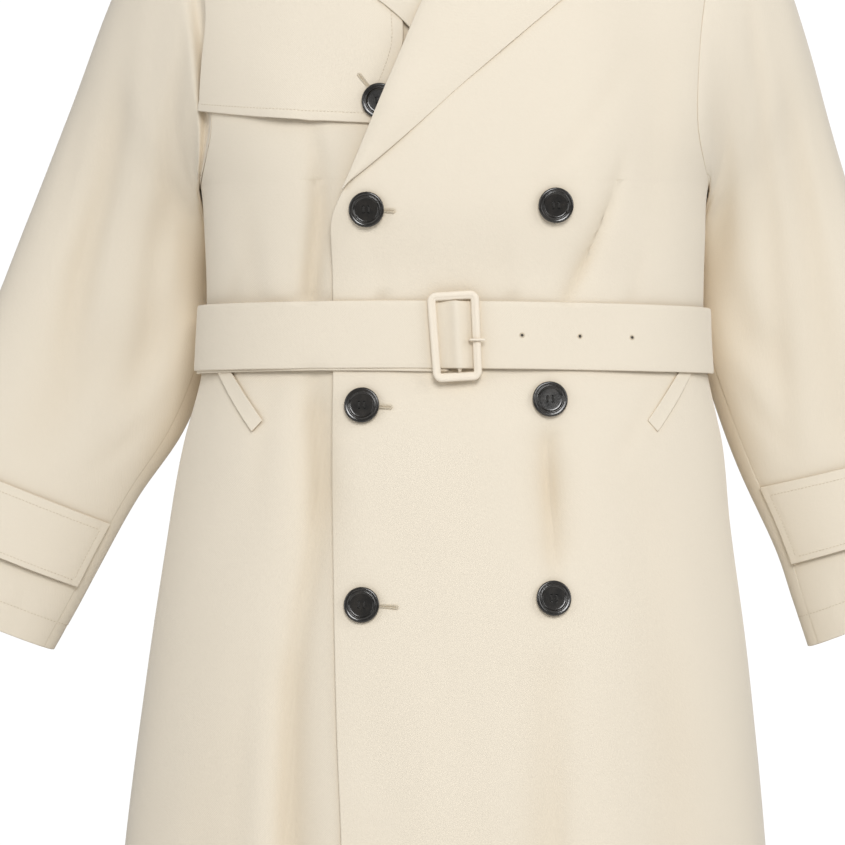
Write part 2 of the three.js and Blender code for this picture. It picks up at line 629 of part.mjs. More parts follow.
function stormFlap() {
  return clothPiece('storm_flap', {
    us: steps(0, 1, 12),
    vs: [0, 0.1, 0.22, 0.34, 0.46, 0.58, 0.7, 0.82, 0.91, 0.97, 1],
    surface: (share, t) => {
      const inX = along(FLAP, 't', 'inX', t);
      const inZ = along(FLAP, 't', 'inZ', t);
      const outZ = along(FLAP, 't', 'outZ', t);
      const armAt = clamp(armholeAtHeight(outZ), 0, 1);
      const outX = armholeXZ(-1, -1, armAt).x * along(FLAP, 't', 'outShare', t);
      const bow = 1 - Math.max(0, 1 - share) ** 1.25;
      const x = lerp(inX, outX, bow);
      const sag = t < 0.2 ? -3 * Math.sin(Math.PI * share) * (1 - t / 0.2) : 0;
      const z = Math.min(lerp(inZ, outZ, bow) + sag, shoulderHeight(x) - 0.06);
      return onSkin(x, z, -1, flapLift(x, z));
    },
    turn: -1,
  });
}

function armholeAtHeight(z) {
  let low = 0;
  let high = 1;
  for (let i = 0; i < 30; i += 1) {
    const middle = (low + high) / 2;
    if (along(ARMHOLE, 'at', 'z', middle) < z) low = middle;
    else high = middle;
  }
  return (low + high) / 2;
}

// Fold line of the collar and its outer edge, resting on the shoulders and back.
function collarEdges(c) {
  const turned = Math.abs(c);
  const side = Math.sign(c) || 1;
  const value = (column) => along(COLLAR, 'c', column, turned);
  const fold = new THREE.Vector3(side * value('foldX'), value('foldY'), value('foldZ'));
  const x = side * value('outX');
  const z = Math.min(value('outZ'), shoulderHeight(x) - 0.4);
  const behind = smoothstep(turned, 0.56, 0.72);
  const rear = onSkin(x, z, 1, 6);
  const before = onSkin(x, z, -1, 8.5 + overLift(x, z));
  return { fold, outer: rear.lerp(before, behind) };
}

function collarFall() {
  return clothPiece('collar_fall', {
    us: steps(-1, 1, 20),
    vs: [0, 0.12, 0.32, 0.55, 0.78, 1],
    surface: (c, w) => {
      const { fold, outer } = collarEdges(c);
      const arch = Math.sin(Math.PI * w ** 0.7) * 11;
      return fold.clone().lerp(outer, w).add(new THREE.Vector3(0, 0, arch));
    },
    turn: 1,
  });
}

// Neck seam: up the roll line from the gorge and round the back neck.
function neckSeam(c) {
  const turned = Math.abs(c);
  const side = Math.sign(c) || 1;
  if (turned < 0.62) {
    const x = side * NECK_HALF * Math.sin((turned / 0.62) * 90 * DEGREE);
    return skin(x, Math.min(backTop(x), shoulderHeight(x) - 0.1), 1);
  }
  const z = lerp(0, GORGE.z, (turned - 0.62) / 0.38);
  const x = along(FRONT_EDGE, 'z', 'x', z);
  return skin(side * x, Math.min(z, shoulderHeight(x) - 0.1), -1);
}

function collarStand() {
  return clothPiece('collar_stand', {
    us: steps(-0.97, 0.97, 18),
    vs: [0, 0.5, 1],
    surface: (c, w) => {
      const seam = neckSeam(c).multiply(new THREE.Vector3(0.955, 0.95, 1)).add(new THREE.Vector3(0, 0, 1.2));
      const { fold } = collarEdges(c);
      return seam.lerp(fold.multiply(new THREE.Vector3(0.93, 0.93, 1)).add(new THREE.Vector3(0, 0, -2)), w);
    },
    turn: 1,
  });
}

// A narrow welt along the pocket's mouth, running up under the belt.
function pocketWelt(side) {
  const over = (point) => (side > 0 ? overLift(point.x, point.z) : 0);
  return clothPiece(`pocket_welt_${side > 0 ? 'left' : 'right'}`, {
    us: [0, 0.5, 1],
    vs: steps(0, 1, 8),
    surface: (u, v) => {
      const angle = side * lerp(WELT.lowAngle, WELT.highAngle, v) * DEGREE;
      const z = lerp(WELT.lowZ, WELT.highZ, v) + (u - 0.5) * WELT.wide * 0.9;
      const shift = side * (u - 0.5) * -(WELT.wide / 300);
      const base = bodyPoint(angle + shift, z);
      return onBody(angle + shift, z, 1.6 + REST * 0.6 + over(base));
    },
    turn: side,
    thick: 1.2,
  });
}

// The belt is one strip. It starts at the buckle's bar, runs round the wearer's right and the back to the
// front again, through the buckle, and lies over its own start.
function beltLift(turned, x, z) {
  const past = smoothstep(turned, 285, 335);
  const middle = BAR.x - (z - BUCKLE.z) * Math.tan(BUCKLE.lean * DEGREE);
  const bump = past * BAR.raise * Math.exp(-(((x - middle) / 7) ** 2));
  return BELT_LIFT + past * PLY + bump;
}

function belt() {
  const end = 360 + TONGUE_END;
  const slack = (turned) => 2.4 * smoothstep(turned, 330, end) - 2.4 * (1 - smoothstep(turned, 0, 60));
  const stops = [];
  const near = (turned) => Math.abs(((turned + 180) % 360) - 180);
  const stride = (turned) => (turned > 300 && near(turned) < 14.5 ? 1.2 : 5.6);
  for (let turned = 3.2; turned < end; turned += stride(turned)) stops.push(turned);
  stops.push(end);
  return clothPiece('belt', {
    us: [0, 1],
    vs: stops,
    surface: (u, turned) => {
      const angle = -turned * DEGREE;
      const z = BELT_TOP - BELT_WIDTH * (1 - u) + slack(turned) - 2.6 * Math.abs(Math.sin(angle)) ** 3;
      const base = bodyPoint(angle, z);
      const smoothed = bodyPoint(angle, BELT_TOP - BELT_WIDTH / 2).setZ(z);
      base.lerp(smoothed, 0.3);
      const outward = onBody(angle, BELT_TOP - BELT_WIDTH / 2, 1)
        .sub(onBody(angle, BELT_TOP - BELT_WIDTH / 2, 0)).setZ(0).normalize();
      return base.addScaledVector(outward, beltLift(turned, base.x, z));
    },
    turn: 1,
  });
}

// Pose of something that lies on the front: its middle, and turned to face out of the cloth.
function place(mesh, x, z, out) {
  const point = onSkin(x, z, -1, 0);
  const normal = onSkin(x, z, -1, 1).sub(point).normalize();
  mesh.position.copy(point.addScaledVector(normal, out));
  mesh.quaternion.setFromUnitVectors(new THREE.Vector3(0, 1, 0), normal);
  return mesh;
}

// A button turned from horn, with a raised rim, a dish and a short thread shank.
function buttonMesh(name) {
  const { radius, thick, shank, shankRadius, rim, dish } = BUTTON;
  const profile = [
    [0, 0],
    [shankRadius, 0],
    [shankRadius, shank],
    [radius - 1.4, shank],
    [radius, shank + 1.2],
    [radius - 0.5, shank + thick - 0.3],
    [radius - rim * 0.6, shank + thick],
    [radius - rim * 1.5, shank + thick - dish],
    [0, shank + thick - dish],
  ].map(([r, h]) => new THREE.Vector2(r, h));
  const mesh = new THREE.Mesh(new THREE.LatheGeometry(profile, 16), material(COLOURS.horn, 0.35));
  mesh.name = name;
  return mesh;
}

// The buckle lies on the belt. Its bar crosses behind the tongue, and the frame's sides lie before it.
const BELT_FACE = beltLift(360, 40, BUCKLE.z); // outer face of the tongue where it isn't raised
const BUCKLE_SEAT = 1.2; // from that face to the back of the frame

function roundedRectangle(shape, wide, high, corner) {
  const [x, y] = [wide / 2, high / 2];
  shape.moveTo(-x + corner, -y);
  shape.lineTo(x - corner, -y);
  shape.absarc(x - corner, -y + corner, corner, -Math.PI / 2, 0);
  shape.lineTo(x, y - corner);
  shape.absarc(x - corner, y - corner, corner, 0, Math.PI / 2);
  shape.lineTo(-x + corner, y);
  shape.absarc(-x + corner, y - corner, corner, Math.PI / 2, Math.PI);
  shape.lineTo(-x, -y + corner);
  shape.absarc(-x + corner, -y + corner, corner, Math.PI, 1.5 * Math.PI);
  return shape;
}

function merged(geometry) {
  const plain = geometry.clone();
  plain.deleteAttribute('normal');
  plain.deleteAttribute('uv');
  return mergeVertices(plain, 1e-4);
}

function solidOf(geometry) {
  const closed = merged(geometry);
  return new wasm.Manifold(new wasm.Mesh({
    numProp: 3,
    vertProperties: closed.getAttribute('position').array,
    triVerts: new Uint32Array(closed.getIndex().array),
  }));
}

function geometryOf(solid) {
  const made = solid.getMesh();
  const geometry = new THREE.BufferGeometry();
  geometry.setAttribute('position', new THREE.BufferAttribute(new Float32Array(made.vertProperties), 3));
  geometry.setIndex(new THREE.BufferAttribute(new Uint32Array(made.triVerts), 1));
  return geometry;
}

// A covered frame with a bar behind the belt's free end.
function buckle() {
  const shape = roundedRectangle(new THREE.Shape(), BUCKLE.wide, BUCKLE.high, BUCKLE.corner);
  shape.holes.push(roundedRectangle(new THREE.Path(), BUCKLE.opening, BUCKLE.openingHigh, 2.5));
  const pressed = { depth: BUCKLE.thick, bevelEnabled: false, curveSegments: 4 };
  const frame = new THREE.ExtrudeGeometry(shape, pressed);
  const bar = new THREE.CylinderGeometry(BAR.radius, BAR.radius, BUCKLE.openingHigh + 4, 10)
    .translate(BAR.x - BUCKLE.x, 0, BAR.raise - WALL - 0.35 - BAR.radius - BUCKLE_SEAT);
  const mesh = new THREE.Mesh(geometryOf(solidOf(frame).add(solidOf(bar))), material(COLOURS.cover, 0.8));
  mesh.name = 'buckle';
  mesh.rotation.set(90 * DEGREE, 0, BUCKLE.lean * DEGREE);
  mesh.position.copy(onSkin(BUCKLE.x, BUCKLE.z, -1, BELT_FACE + BUCKLE_SEAT));
  return mesh;
}

// The prong leaves the bar behind the belt, comes up through a hole and rests on the frame.
function prong() {
  const top = BUCKLE_SEAT + BUCKLE.thick + PRONG.radius + 0.7;
  const path = [[4.4, 0.2], [8, -2.9], [10.4, -2.9], [11.6, 0], [11.8, top - 1.6], [13.4, top], [18, top],
    [24.4, top - 0.4]];
  const curve = new THREE.CatmullRomCurve3(path.map(([x, out]) => onSkin(x, PRONG.z, -1, BELT_FACE + out)));
  const round = new THREE.Shape().absarc(0, 0, PRONG.radius, 0, 2 * Math.PI);
  const geometry = new THREE.ExtrudeGeometry(round, { extrudePath: curve, steps: 18, curveSegments: 4 });
  const mesh = new THREE.Mesh(geometryOf(solidOf(geometry)), material(COLOURS.cover, 0.5));
  mesh.name = 'buckle_prong';
  return mesh;
}

function beltWithHole() {
  const mesh = belt();
  const middle = onSkin(PRONG.hole, PRONG.z, -1, BELT_FACE);
  const drill = new THREE.CylinderGeometry(PRONG.holeRadius, PRONG.holeRadius, 5, 12)
    .translate(middle.x, middle.y, middle.z);
  mesh.geometry = geometryOf(solidOf(mesh.geometry).subtract(solidOf(drill)));
  return mesh;
}

const model = new THREE.Group();
model.name = 'trench_coat';
model.add(front(1), front(-1), back());
model.add(lapel(1), lapel(-1), collarFall(), collarStand(), stormFlap());
[1, -1].forEach((side) => {
  model.add(sleevePanel(side, 'top'), sleevePanel(side, 'under'), cuffStrap(side), pocketWelt(side));
});
model.add(beltWithHole(), buckle(), prong());
BUTTONS.forEach(({ name, x, z }) => {
  model.add(place(buttonMesh(name), x, z, overLift(x, z) + BUTTON.seat));
});
const flapButton = buttonMesh(FLAP_BUTTON.name);
const flapButtonOut = flapLift(FLAP_BUTTON.x, FLAP_BUTTON.z) + BUTTON.seat;
model.add(place(flapButton, FLAP_BUTTON.x, FLAP_BUTTON.z, flapButtonOut));

export default model;
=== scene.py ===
# Looks of the trench coat: finer cloth shells on the forms of the solids, sewing, buttons and buckle.
# Shapes are worked out in millimetres in the part's own frame, and turned into metres when a mesh is made.
import math

import bpy
import numpy as np
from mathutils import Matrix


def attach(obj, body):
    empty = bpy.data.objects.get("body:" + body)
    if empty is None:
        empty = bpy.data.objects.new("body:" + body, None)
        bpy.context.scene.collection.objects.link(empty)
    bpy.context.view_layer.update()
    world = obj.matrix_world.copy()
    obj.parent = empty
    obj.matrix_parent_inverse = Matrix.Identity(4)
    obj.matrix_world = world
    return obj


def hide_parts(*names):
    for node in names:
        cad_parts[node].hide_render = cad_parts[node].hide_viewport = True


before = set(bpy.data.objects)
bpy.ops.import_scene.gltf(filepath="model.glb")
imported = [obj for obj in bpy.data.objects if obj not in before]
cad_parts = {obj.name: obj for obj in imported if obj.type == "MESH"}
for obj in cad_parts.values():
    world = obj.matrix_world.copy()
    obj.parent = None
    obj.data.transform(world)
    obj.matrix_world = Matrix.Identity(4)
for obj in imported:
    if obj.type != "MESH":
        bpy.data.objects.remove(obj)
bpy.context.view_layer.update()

MM = 0.001

# Cloth, as in the solids
WALL = 1.6
SEAM = 0.12
REST = 0.6
PLY = REST + WALL

# Main levels and widths
HEM = -1130
UNDERARM = -318
BELT_TOP = -421.5
BELT_WIDTH = 56
NECK_HALF = 75
SHOULDER_HALF = 243
SHOULDER_TIP = -58
SHOULDER_DROP = 150
SHOULDER_ROUND = 2.2
EDGE = 0.0004


def columns(names, rows):
    """A short table as a dict of arrays. The first column is the one that the table is looked up by."""
    found = dict(zip(names.split(), np.array(rows, dtype=float).T))
    found["key"] = names.split()[0]
    return found


SECTIONS = columns(
    "z right left front back round",
    [
        (-1130, 314, 294, 176, 178, 2.2), (-892, 288, 272, 157, 160, 2.2),
        (-740, 269, 257, 143, 147, 2.25), (-610, 249, 241, 131, 134, 2.3),
        (-541, 236.5, 234, 125, 124, 2.35), (-485, 221.5, 222, 118.5, 111, 2.4),
        (-450, 218, 218, 118, 108, 2.4), (-418, 216.5, 217.5, 119, 110, 2.4),
        (-366, 218.5, 219, 123, 122, 2.4), (-318, 222, 221, 125, 130, 2.4),
        (-265, 236, 235, 124, 135, 2.4), (-210, 243, 242, 120, 136, 2.4), (-168, 248, 248, 114, 132, 2.4),
        (-110, 256, 256, 100, 121, 2.4), (-50, 264, 264, 80, 102, 2.4), (0, 268, 268, 62, 82, 2.4),
        (40, 270, 270, 52, 66, 2.4),
    ],
)
FRONT_EDGE = columns(
    "z x",
    [
        (-1130, -92), (-874, -95), (-790, -98.5), (-690, -101), (-540, -102.3), (-369, -102.3),
        (-347, -99.8), (-318, -88), (-269, -68), (-210, -43.6), (-167, -25), (-105, 8), (-48, 45), (0, 75),
    ],
)
ARMHOLE = columns(
    "at front back z",
    [
        (0, 1, 1, -318), (0.1, 0.972, 0.976, -300), (0.23, 0.94, 0.955, -268), (0.42, 0.942, 0.962, -212),
        (0.58, 0.962, 0.98, -166), (0.76, 1.005, 1.018, -116), (0.9, 1.055, 1.062, -78),
        (1, 1.095, 1.095, -58),
    ],
)

# The largest folds, which the solids have too, as rows of height, x and depth from the foot up.
FOLDS = [
    (-1, 14, [(-419, -123, 5), (-396, -121, 6), (-327, -114, 4), (-276, -122, 0)]),
    (-1, 20, [
        (-1130, -132, 10), (-873, -136, 10), (-754, -137, 9), (-696, -130, 6), (-638, -118, 6),
        (-588, -114, 9), (-521, -117, 8), (-482, -120, 2), (-462, -121, 0),
    ]),
    (-1, 13, [(-424, 92, 2), (-386, 108, 4), (-354, 121, 3), (-293, 142, 0)]),
    (-1, 19, [
        (-1130, 72, 7), (-873, 73, 6), (-740, 79, 4), (-700, 81, 0.5), (-660, 81, 0), (-620, 82, 6),
        (-575, 79, 8), (-540, 77, 5), (-515, 79, 0), (-480, 87, 0),
    ]),
    (-1, 26, [(-1130, 200, 7), (-800, 184, 5), (-620, 168, 2), (-540, 152, 0)]),
    (-1, 24, [(-1130, -224, 5), (-860, -210, 4), (-660, -190, 0)]),
    (1, 22, [(-1130, -176, 10), (-800, -150, 8), (-600, -128, 7), (-480, -118, 0)]),
    (1, 20, [(-1130, -62, 8), (-800, -50, 6), (-600, -42, 6), (-480, -38, 0)]),
    (1, 21, [(-1130, 58, 9), (-800, 50, 8), (-620, 46, 5), (-480, 40, 0)]),
    (1, 22, [(-1130, 170, 8), (-800, 146, 7), (-620, 130, 6), (-480, 122, 0)]),
    (1, 17, [(-424, -112, 4), (-360, -108, 5), (-270, -120, 0)]),
    (1, 17, [(-424, 108, 5), (-350, 112, 5), (-250, 130, 0)]),
]

# Smaller creases, which only this scene has. A negative depth is a ridge.
CREASES = [
    (-1, 7.5, [(-424, -124, 6), (-396, -121, 7.5), (-345, -115, 7), (-300, -117, 4), (-250, -126, 0)]),
    (-1, 9, [
        (-1130, -140, 7), (-850, -140, 7), (-740, -137, 6), (-690, -130, 5), (-630, -118, 5.5),
        (-575, -114, 7), (-521, -117, 7), (-488, -120, 4), (-468, -121, 0),
    ]),
    (-1, 6.5, [(-424, 91, 4), (-386, 108, 6), (-354, 121, 5), (-318, 134, 2.6), (-276, 148, 0)]),
    (-1, 8, [(-690, 84, 0), (-630, 81, 5), (-585, 79, 7), (-545, 77, 6), (-524, 79, 2), (-514, 80, 0)]),
    (-1, 10, [(-1130, 88, 3.6), (-900, 84, 3.2), (-760, 80, 0)]),
    (-1, 12, [(-1130, -196, 3.6), (-880, -184, 3.2), (-640, -172, 0)]),
    (-1, 9, [(-570, 128, 0), (-530, 150, 2), (-490, 170, 1.6)]),
    (-1, 5, [(-424, -194, 2.4), (-408, -190, 2), (-386, -184, 0)]),
    (-1, 12, [(-410, -166, 0), (-370, -172, 3), (-300, -184, 0)]),
    (-1, 9, [(-419, -168, 2.4), (-385, -176, 1.8), (-330, -190, 0)]),
    (-1, 6, [(-419, -190, 1.6), (-396, -186, 1.2), (-372, -181, 0)]),
    (-1, 12, [(-424, -150, -1.6), (-370, -166, -1.6), (-300, -184, 0)]),
    (-1, 8, [(-419, -62, 1.2), (-395, -64, 0.8), (-360, -66, 0)]),
    (-1, 9, [(-419, 46, 1), (-390, 40, 0.8), (-340, 30, 0)]),
    (-1, 7, [(-419, 150, 1.8), (-395, 156, 1.3), (-355, 166, 0)]),
    (-1, 16, [(-400, 178, 0), (-330, 170, 2), (-240, 176, 2), (-170, 186, 0)]),
    (-1, 11, [(-330, 60, 0), (-290, 96, 1.4), (-240, 130, 1.2), (-190, 158, 0)]),
    (-1, 9, [(-560, 160, 0), (-520, 176, 1.6), (-484, 188, 1.2), (-474, 190, 0)]),
    (-1, 10, [(-620, -176, 0), (-560, -166, 1.8), (-500, -158, 1.6), (-478, -156, 0)]),
    (-1, 24, [(-1130, -40, -2), (-900, -30, -2), (-700, -24, 0)]),
    (-1, 22, [(-1130, 138, -3), (-900, 132, -2.4), (-640, 120, 0)]),
    (-1, 18, [(-1130, 16, 2), (-930, 12, 1.6), (-760, 8, 0)]),
    (1, 11, [(-1130, -118, -4), (-820, -100, -3), (-560, -84, 0)]),
    (1, 12, [(-1130, 112, -4), (-800, 98, -3), (-580, 84, 0)]),
    (1, 8, [(-424, -60, 2), (-385, -56, 1.4), (-330, -50, 0)]),
    (1, 8, [(-424, 42, 2.2), (-380, 46, 1.6), (-310, 54, 0)]),
    (1, 7, [(-424, -160, 2), (-390, -166, 1.4), (-350, -176, 0)]),
    (1, 9, [(-424, 162, 2), (-380, 170, 1.4), (-330, 180, 0)]),
    (1, 14, [(-300, -150, 0), (-240, -160, 3), (-170, -176, 2), (-130, -184, 0)]),
    (1, 14, [(-310, 150, 0), (-240, 164, 3), (-180, 176, 2), (-130, 186, 0)]),
    (1, 10, [(-240, -30, 0), (-190, -34, 1.4), (-130, -46, 0)]),
]

# The inner ends of rings 1 to 4 lie a few millimetres closer to the body than in the solids.
SLEEVE_RIGHT = columns(
    "k outX outZ inX inZ mid half",
    [
        (0, 246, -60, 223, -318, 6, 70), (1, 268, -82, 222.8, -324, 11, 65),
        (2, 290, -118, 221, -333, 20, 62), (3, 316, -181, 217.5, -345, 33, 60),
        (4, 343, -248, 212.5, -364, 50, 57), (5, 370, -316, 213.5, -397, 61, 53),
        (6, 398, -386, 215, -458, 62, 47), (7, 426, -457, 241, -529, 60, 41),
        (8, 452, -522, 281, -590, 56, 37), (9, 478, -586, 315, -651, 52, 34),
        (10, 494, -627, 336, -690, 50, 32), (11, 508.8, -663, 355.8, -725, 48, 31),
    ],
)
SLEEVE_LEFT = columns(
    "k outX outZ inX inZ mid half",
    [
        (0, 246, -60, 222, -318, 6, 70), (1, 267, -82, 222.2, -324, 11, 65),
        (2, 289, -116, 220.5, -333, 20, 62), (3, 312, -184, 216.5, -345, 33, 60),
        (4, 333, -251, 212.5, -364, 50, 57), (5, 354, -318, 214, -393, 61, 54),
        (6, 376, -388, 216, -450, 62, 49), (7, 398, -458, 233, -506, 60, 44),
        (8, 420, -527, 255, -565, 56, 40), (9, 440, -591, 286, -634, 52, 36),
        (10, 450, -625, 301, -680, 50, 33), (11, 461.7, -661, 315, -722, 48, 32),
    ],
)
SLEEVE_ROUND = 2.15
SLEEVE_RINGS = 11
ARMHOLE_EASE = 3
FRONT_SEAM = 152.9
BACK_SEAM = 220.5

# Creases of the sleeves: rows of ring number, degrees round the ring and depth.
SLEEVE_FOLDS = [
    (15, [(0.4, 118, 0), (1.6, 121, 5), (4, 128, 6), (6, 135, 0)]),
    (13, [(2, 62, 0), (4, 66, 5), (6, 74, 6), (7.5, 84, 4), (8.4, 90, 0)]),
    (14, [(5, 128, 0), (6.2, 118, 5), (7.4, 102, 0)]),
    (15, [(1, 262, 0), (3, 268, 5), (5, 262, 5), (7, 255, 0)]),
    (14, [(4.2, 300, 0), (6, 294, 4), (8, 286, 0)]),
]
RIGHT_SLEEVE_CREASES = [
    (9, [
        (0.9, 78, 0), (1.6, 95, 3.5), (2.4, 108, 4), (4, 114, 5.5), (5.6, 111, 5), (6.6, 118, 3),
        (7.2, 122, 0),
    ]),
    (8, [
        (2.8, 70, 0), (3.6, 72, 3.5), (4.6, 75, 5), (5.7, 72, 5), (6.4, 78, 4), (7.1, 88, 2),
        (7.9, 100, 0),
    ]),
    (7, [(5.8, 96, 0), (6.6, 94, 2), (7.6, 84, 0)]),
]
LEFT_SLEEVE_CREASES = [
    (8, [(1.4, 60, 0), (2.3, 79, 3), (3.2, 89, 4.5), (5.2, 95, 5), (6.1, 98, 4), (7, 107, 3), (8.3, 121, 0)]),
    (7, [(3.4, 60, 0), (4.6, 64, 2.4), (6.4, 72, 0)]),
    (6, [(9.3, 76, 0), (9.9, 70, 1.4), (10.3, 66, 0)]),
]
SLEEVE_CREASES = [
    (7, [(1.2, 96, 0), (2.6, 100, 1.6), (4.4, 106, 1.4), (5.6, 112, 0)]),
    (8, [(3, 40, 0), (4.6, 44, 1.8), (6.2, 52, 0)]),
    (6, [(6.4, 140, 0), (7.4, 128, 1.6), (8.2, 112, 0)]),
    (9, [(0.6, 30, 0), (1.6, 34, -1.6), (3.2, 38, 0)]),
    (7, [(8.2, 60, 0), (9.2, 66, 1.2), (10.4, 70, 0)]),
    (7, [(2, 240, 0), (3.6, 236, 1.8), (5.4, 232, 0)]),
    (8, [(5.6, 320, 0), (7, 312, 1.8), (8.6, 306, 0)]),
    (6, [(9.4, 112, 0), (10.2, 116, 1), (11, 118, 0.6)]),
]

# Deep fold of the wearer's right sleeve beside the armhole, where the sleeve turns back behind the body.
VALLEY = {"depth": 13, "rings": 1.25, "middle": 112, "half": 44}

LAPEL = columns(
    "t rollZ outX outZ",
    [
        (0, -326, -88, -321), (0.14, -306, -61, -299), (0.28, -280, -33, -275), (0.42, -250, 1, -244),
        (0.54, -222, 24, -224), (0.72, -176, 67, -187), (0.86, -124, 112, -150), (1, -70, 152, -124),
    ],
)
GORGE_Z = -66
RIGHT_LAPEL_SHARE = 0.77

COLLAR = columns(
    "c foldX foldY foldZ outX outZ",
    [
        (0, 0, 66, 16, 0, -62), (0.3, 40, 54, 20, 66, -60), (0.52, 65, 28, 25, 122, -44),
        (0.66, 71, 2, 22, 150, -25), (0.8, 63, -34, -8, 148, -50), (1, 38, -81, -59, 126, -88),
    ],
)

FLAP = columns(
    "t inX inZ outShare outZ",
    [
        (0, -71, -271, 1.05, -255), (0.3, -47, -214, 1.028, -212), (0.5, -45, -180, 0.996, -170),
        (0.72, -52, -116, 0.994, -118), (0.88, -68, -54, 0.995, -80), (1, -84, -6, 0.994, -60),
    ],
)

WELT = {"low_angle": 60.5, "low_z": -526, "high_angle": 81, "high_z": -440, "wide": 10}
CUFF_STRAP = {"from_hem": 60, "wide": 62, "lift": 2.4}

BUTTON_SEAT = 0.2
BUTTONS = {
    "button_right_1": (-73.5, -344),
    "button_right_2": (-78.3, -509),
    "button_right_3": (-78.3, -676),
    "button_left_1": (82, -340.5),
    "button_left_2": (78.6, -504),
    "button_left_3": (80.8, -671),
}
FLAP_BUTTON = (-63.8, -253)

BUCKLE = {
    "x": -0.5, "z": -450.7, "wide": 44, "high": 75.5, "opening": 29.5, "opening_high": 60.6,
    "thick": 4, "lean": 3.4,
}
BAR = {"radius": 1.6, "x": 1.5, "raise": 5}
PRONG_Z = -453.5
BELT_LIFT = 6.2
BUCKLE_SEAT = 1.2
TONGUE_END = 104


def lerp(a, b, t):
    return a + (b - a) * t


def smooth(value, low, high):
    t = np.clip((value - low) / (high - low), 0, 1)
    return t * t * (3 - 2 * t)


def along(table, column, at):
    """A table's column at places between its rows, on a smooth curve through them."""
    keys, values = table[table["key"]], table[column]
    last = len(keys) - 1
    at = np.clip(np.asarray(at, dtype=float), keys[0], keys[-1])
    i = np.clip(np.searchsorted(keys, at, side="left") - 1, 0, last - 1)
    before = np.maximum(np.arange(last + 1) - 1, 0)
    after = np.minimum(np.arange(last + 1) + 1, last)
    slope = (values[after] - values[before]) / (keys[after] - keys[before])
    step = keys[i + 1] - keys[i]
    u = (at - keys[i]) / step
    return (
        values[i] * (1 + 2 * u) * (1 - u) ** 2
        + slope[i] * step * u * (1 - u) ** 2
        + values[i + 1] * u * u * (3 - 2 * u)
        - slope[i + 1] * step * u * u * (1 - u)
    )


def trough(half, rows, at, across):
    """Depth of a soft trough at places along it and across it."""
    rows = np.array(rows, dtype=float)
    i = np.clip(np.searchsorted(rows[:, 0], at, side="left") - 1, 0, len(rows) - 2)
    share = (at - rows[i, 0]) / (rows[i + 1, 0] - rows[i, 0])
    deep = lerp(rows[i, 2], rows[i + 1, 2], smooth(share, 0, 1))
    aside = (across - lerp(rows[i, 1], rows[i + 1, 1], share)) / half
    inside = (at >= rows[0, 0]) & (at <= rows[-1, 0])
    return np.where(inside, deep * np.exp(-(aside**2)), 0)


def fold_depth(x, z, face):
    total = np.zeros(np.broadcast(x, z).shape)
    for side, half, rows in FOLDS + CREASES:
        if side == face:
            total = total + trough(half, rows, z, x)
    return total


def fold_share(cosine):
    """Folds fade where the cloth turns towards the sides."""
    return np.abs(cosine) ** 0.8


def body_point(angle, z):
    """Points of the body's cloth at girth angles: 0 is the centre front, +90 degrees the wearer's left."""
    angle, z = np.broadcast_arrays(np.asarray(angle, dtype=float), np.asarray(z, dtype=float))
    sine, cosine = np.sin(angle), np.cos(angle)
    half = np.where(sine < 0, along(SECTIONS, "right", z), along(SECTIONS, "left", z))
    depth = np.where(cosine > 0, along(SECTIONS, "front", z), along(SECTIONS, "back", z))
    power = along(SECTIONS, "round", z)
    reach = ((np.abs(sine) / half) ** power + (np.abs(cosine) / depth) ** power) ** (-1 / power)
    x = reach * sine
    fold = np.where(cosine > 0, fold_depth(x, z, -1), fold_depth(x, z, 1))
    y = reach * cosine - np.sign(cosine) * fold * fold_share(cosine)
    return np.stack([x, -y, z], axis=-1)


def angle_at(x, z):
    low = np.full(np.shape(z), -math.pi / 2)
    high = np.full(np.shape(z), math.pi / 2)
    for _ in range(34):
        middle = (low + high) / 2
        left = body_point(middle, z)[..., 0] < x
        low = np.where(left, middle, low)
        high = np.where(left, high, middle)
    return (low + high) / 2


def shoulder_height(x):
    return (np.abs(x) - NECK_HALF) * SHOULDER_TIP / (SHOULDER_HALF - NECK_HALF)


def skin(x, z, face):
    """Points of the body's cloth at places seen from the front: face -1 is the front, +1 the back."""
    x, z = np.broadcast_arrays(np.asarray(x, dtype=float), np.asarray(z, dtype=float))
    half = np.where(x < 0, along(SECTIONS, "right", z), along(SECTIONS, "left", z))
    depth = along(SECTIONS, "front" if face < 0 else "back", z)
    power = along(SECTIONS, "round", z)
    flat = depth * np.maximum(0, 1 - (np.abs(x) / half) ** power) ** (1 / power)
    fall = np.clip((shoulder_height(x) - z) / SHOULDER_DROP, 0, 1)
    rounding = (1 - (1 - fall) ** SHOULDER_ROUND) ** (1 / SHOULDER_ROUND)
    fold = fold_depth(x, z, face) * fold_share(flat / np.maximum(np.hypot(x, flat), 1e-9))
    return np.stack([x, face * np.maximum((flat - fold) * rounding, 0), z], axis=-1)


def over_lift(x, z):
    """How far the front on top stands out: over the front underneath, and over its lapel and button too."""
    chest = smooth(z, -405, -335)
    lift = lerp(3.4, 10.3, chest) + 2 * np.exp(-(((x + 50) / 26) ** 2 + ((z + 253) / 30) ** 2))
    near = lerp(105, 98, chest)
    towards_side = 1 - smooth(x, near, 172)
    towards_neck = 1 - smooth(z, -100, -46)
    return lift * towards_side * towards_neck


def flap_lift(x, z):
    middle = np.exp(-(((x + 142) / 32) ** 2))
    return PLY + 0.8 + 5 * middle * (1 - smooth(z, -262, -200))


def unit(vectors):
    return vectors / np.maximum(np.linalg.norm(vectors, axis=-1, keepdims=True), 1e-12)


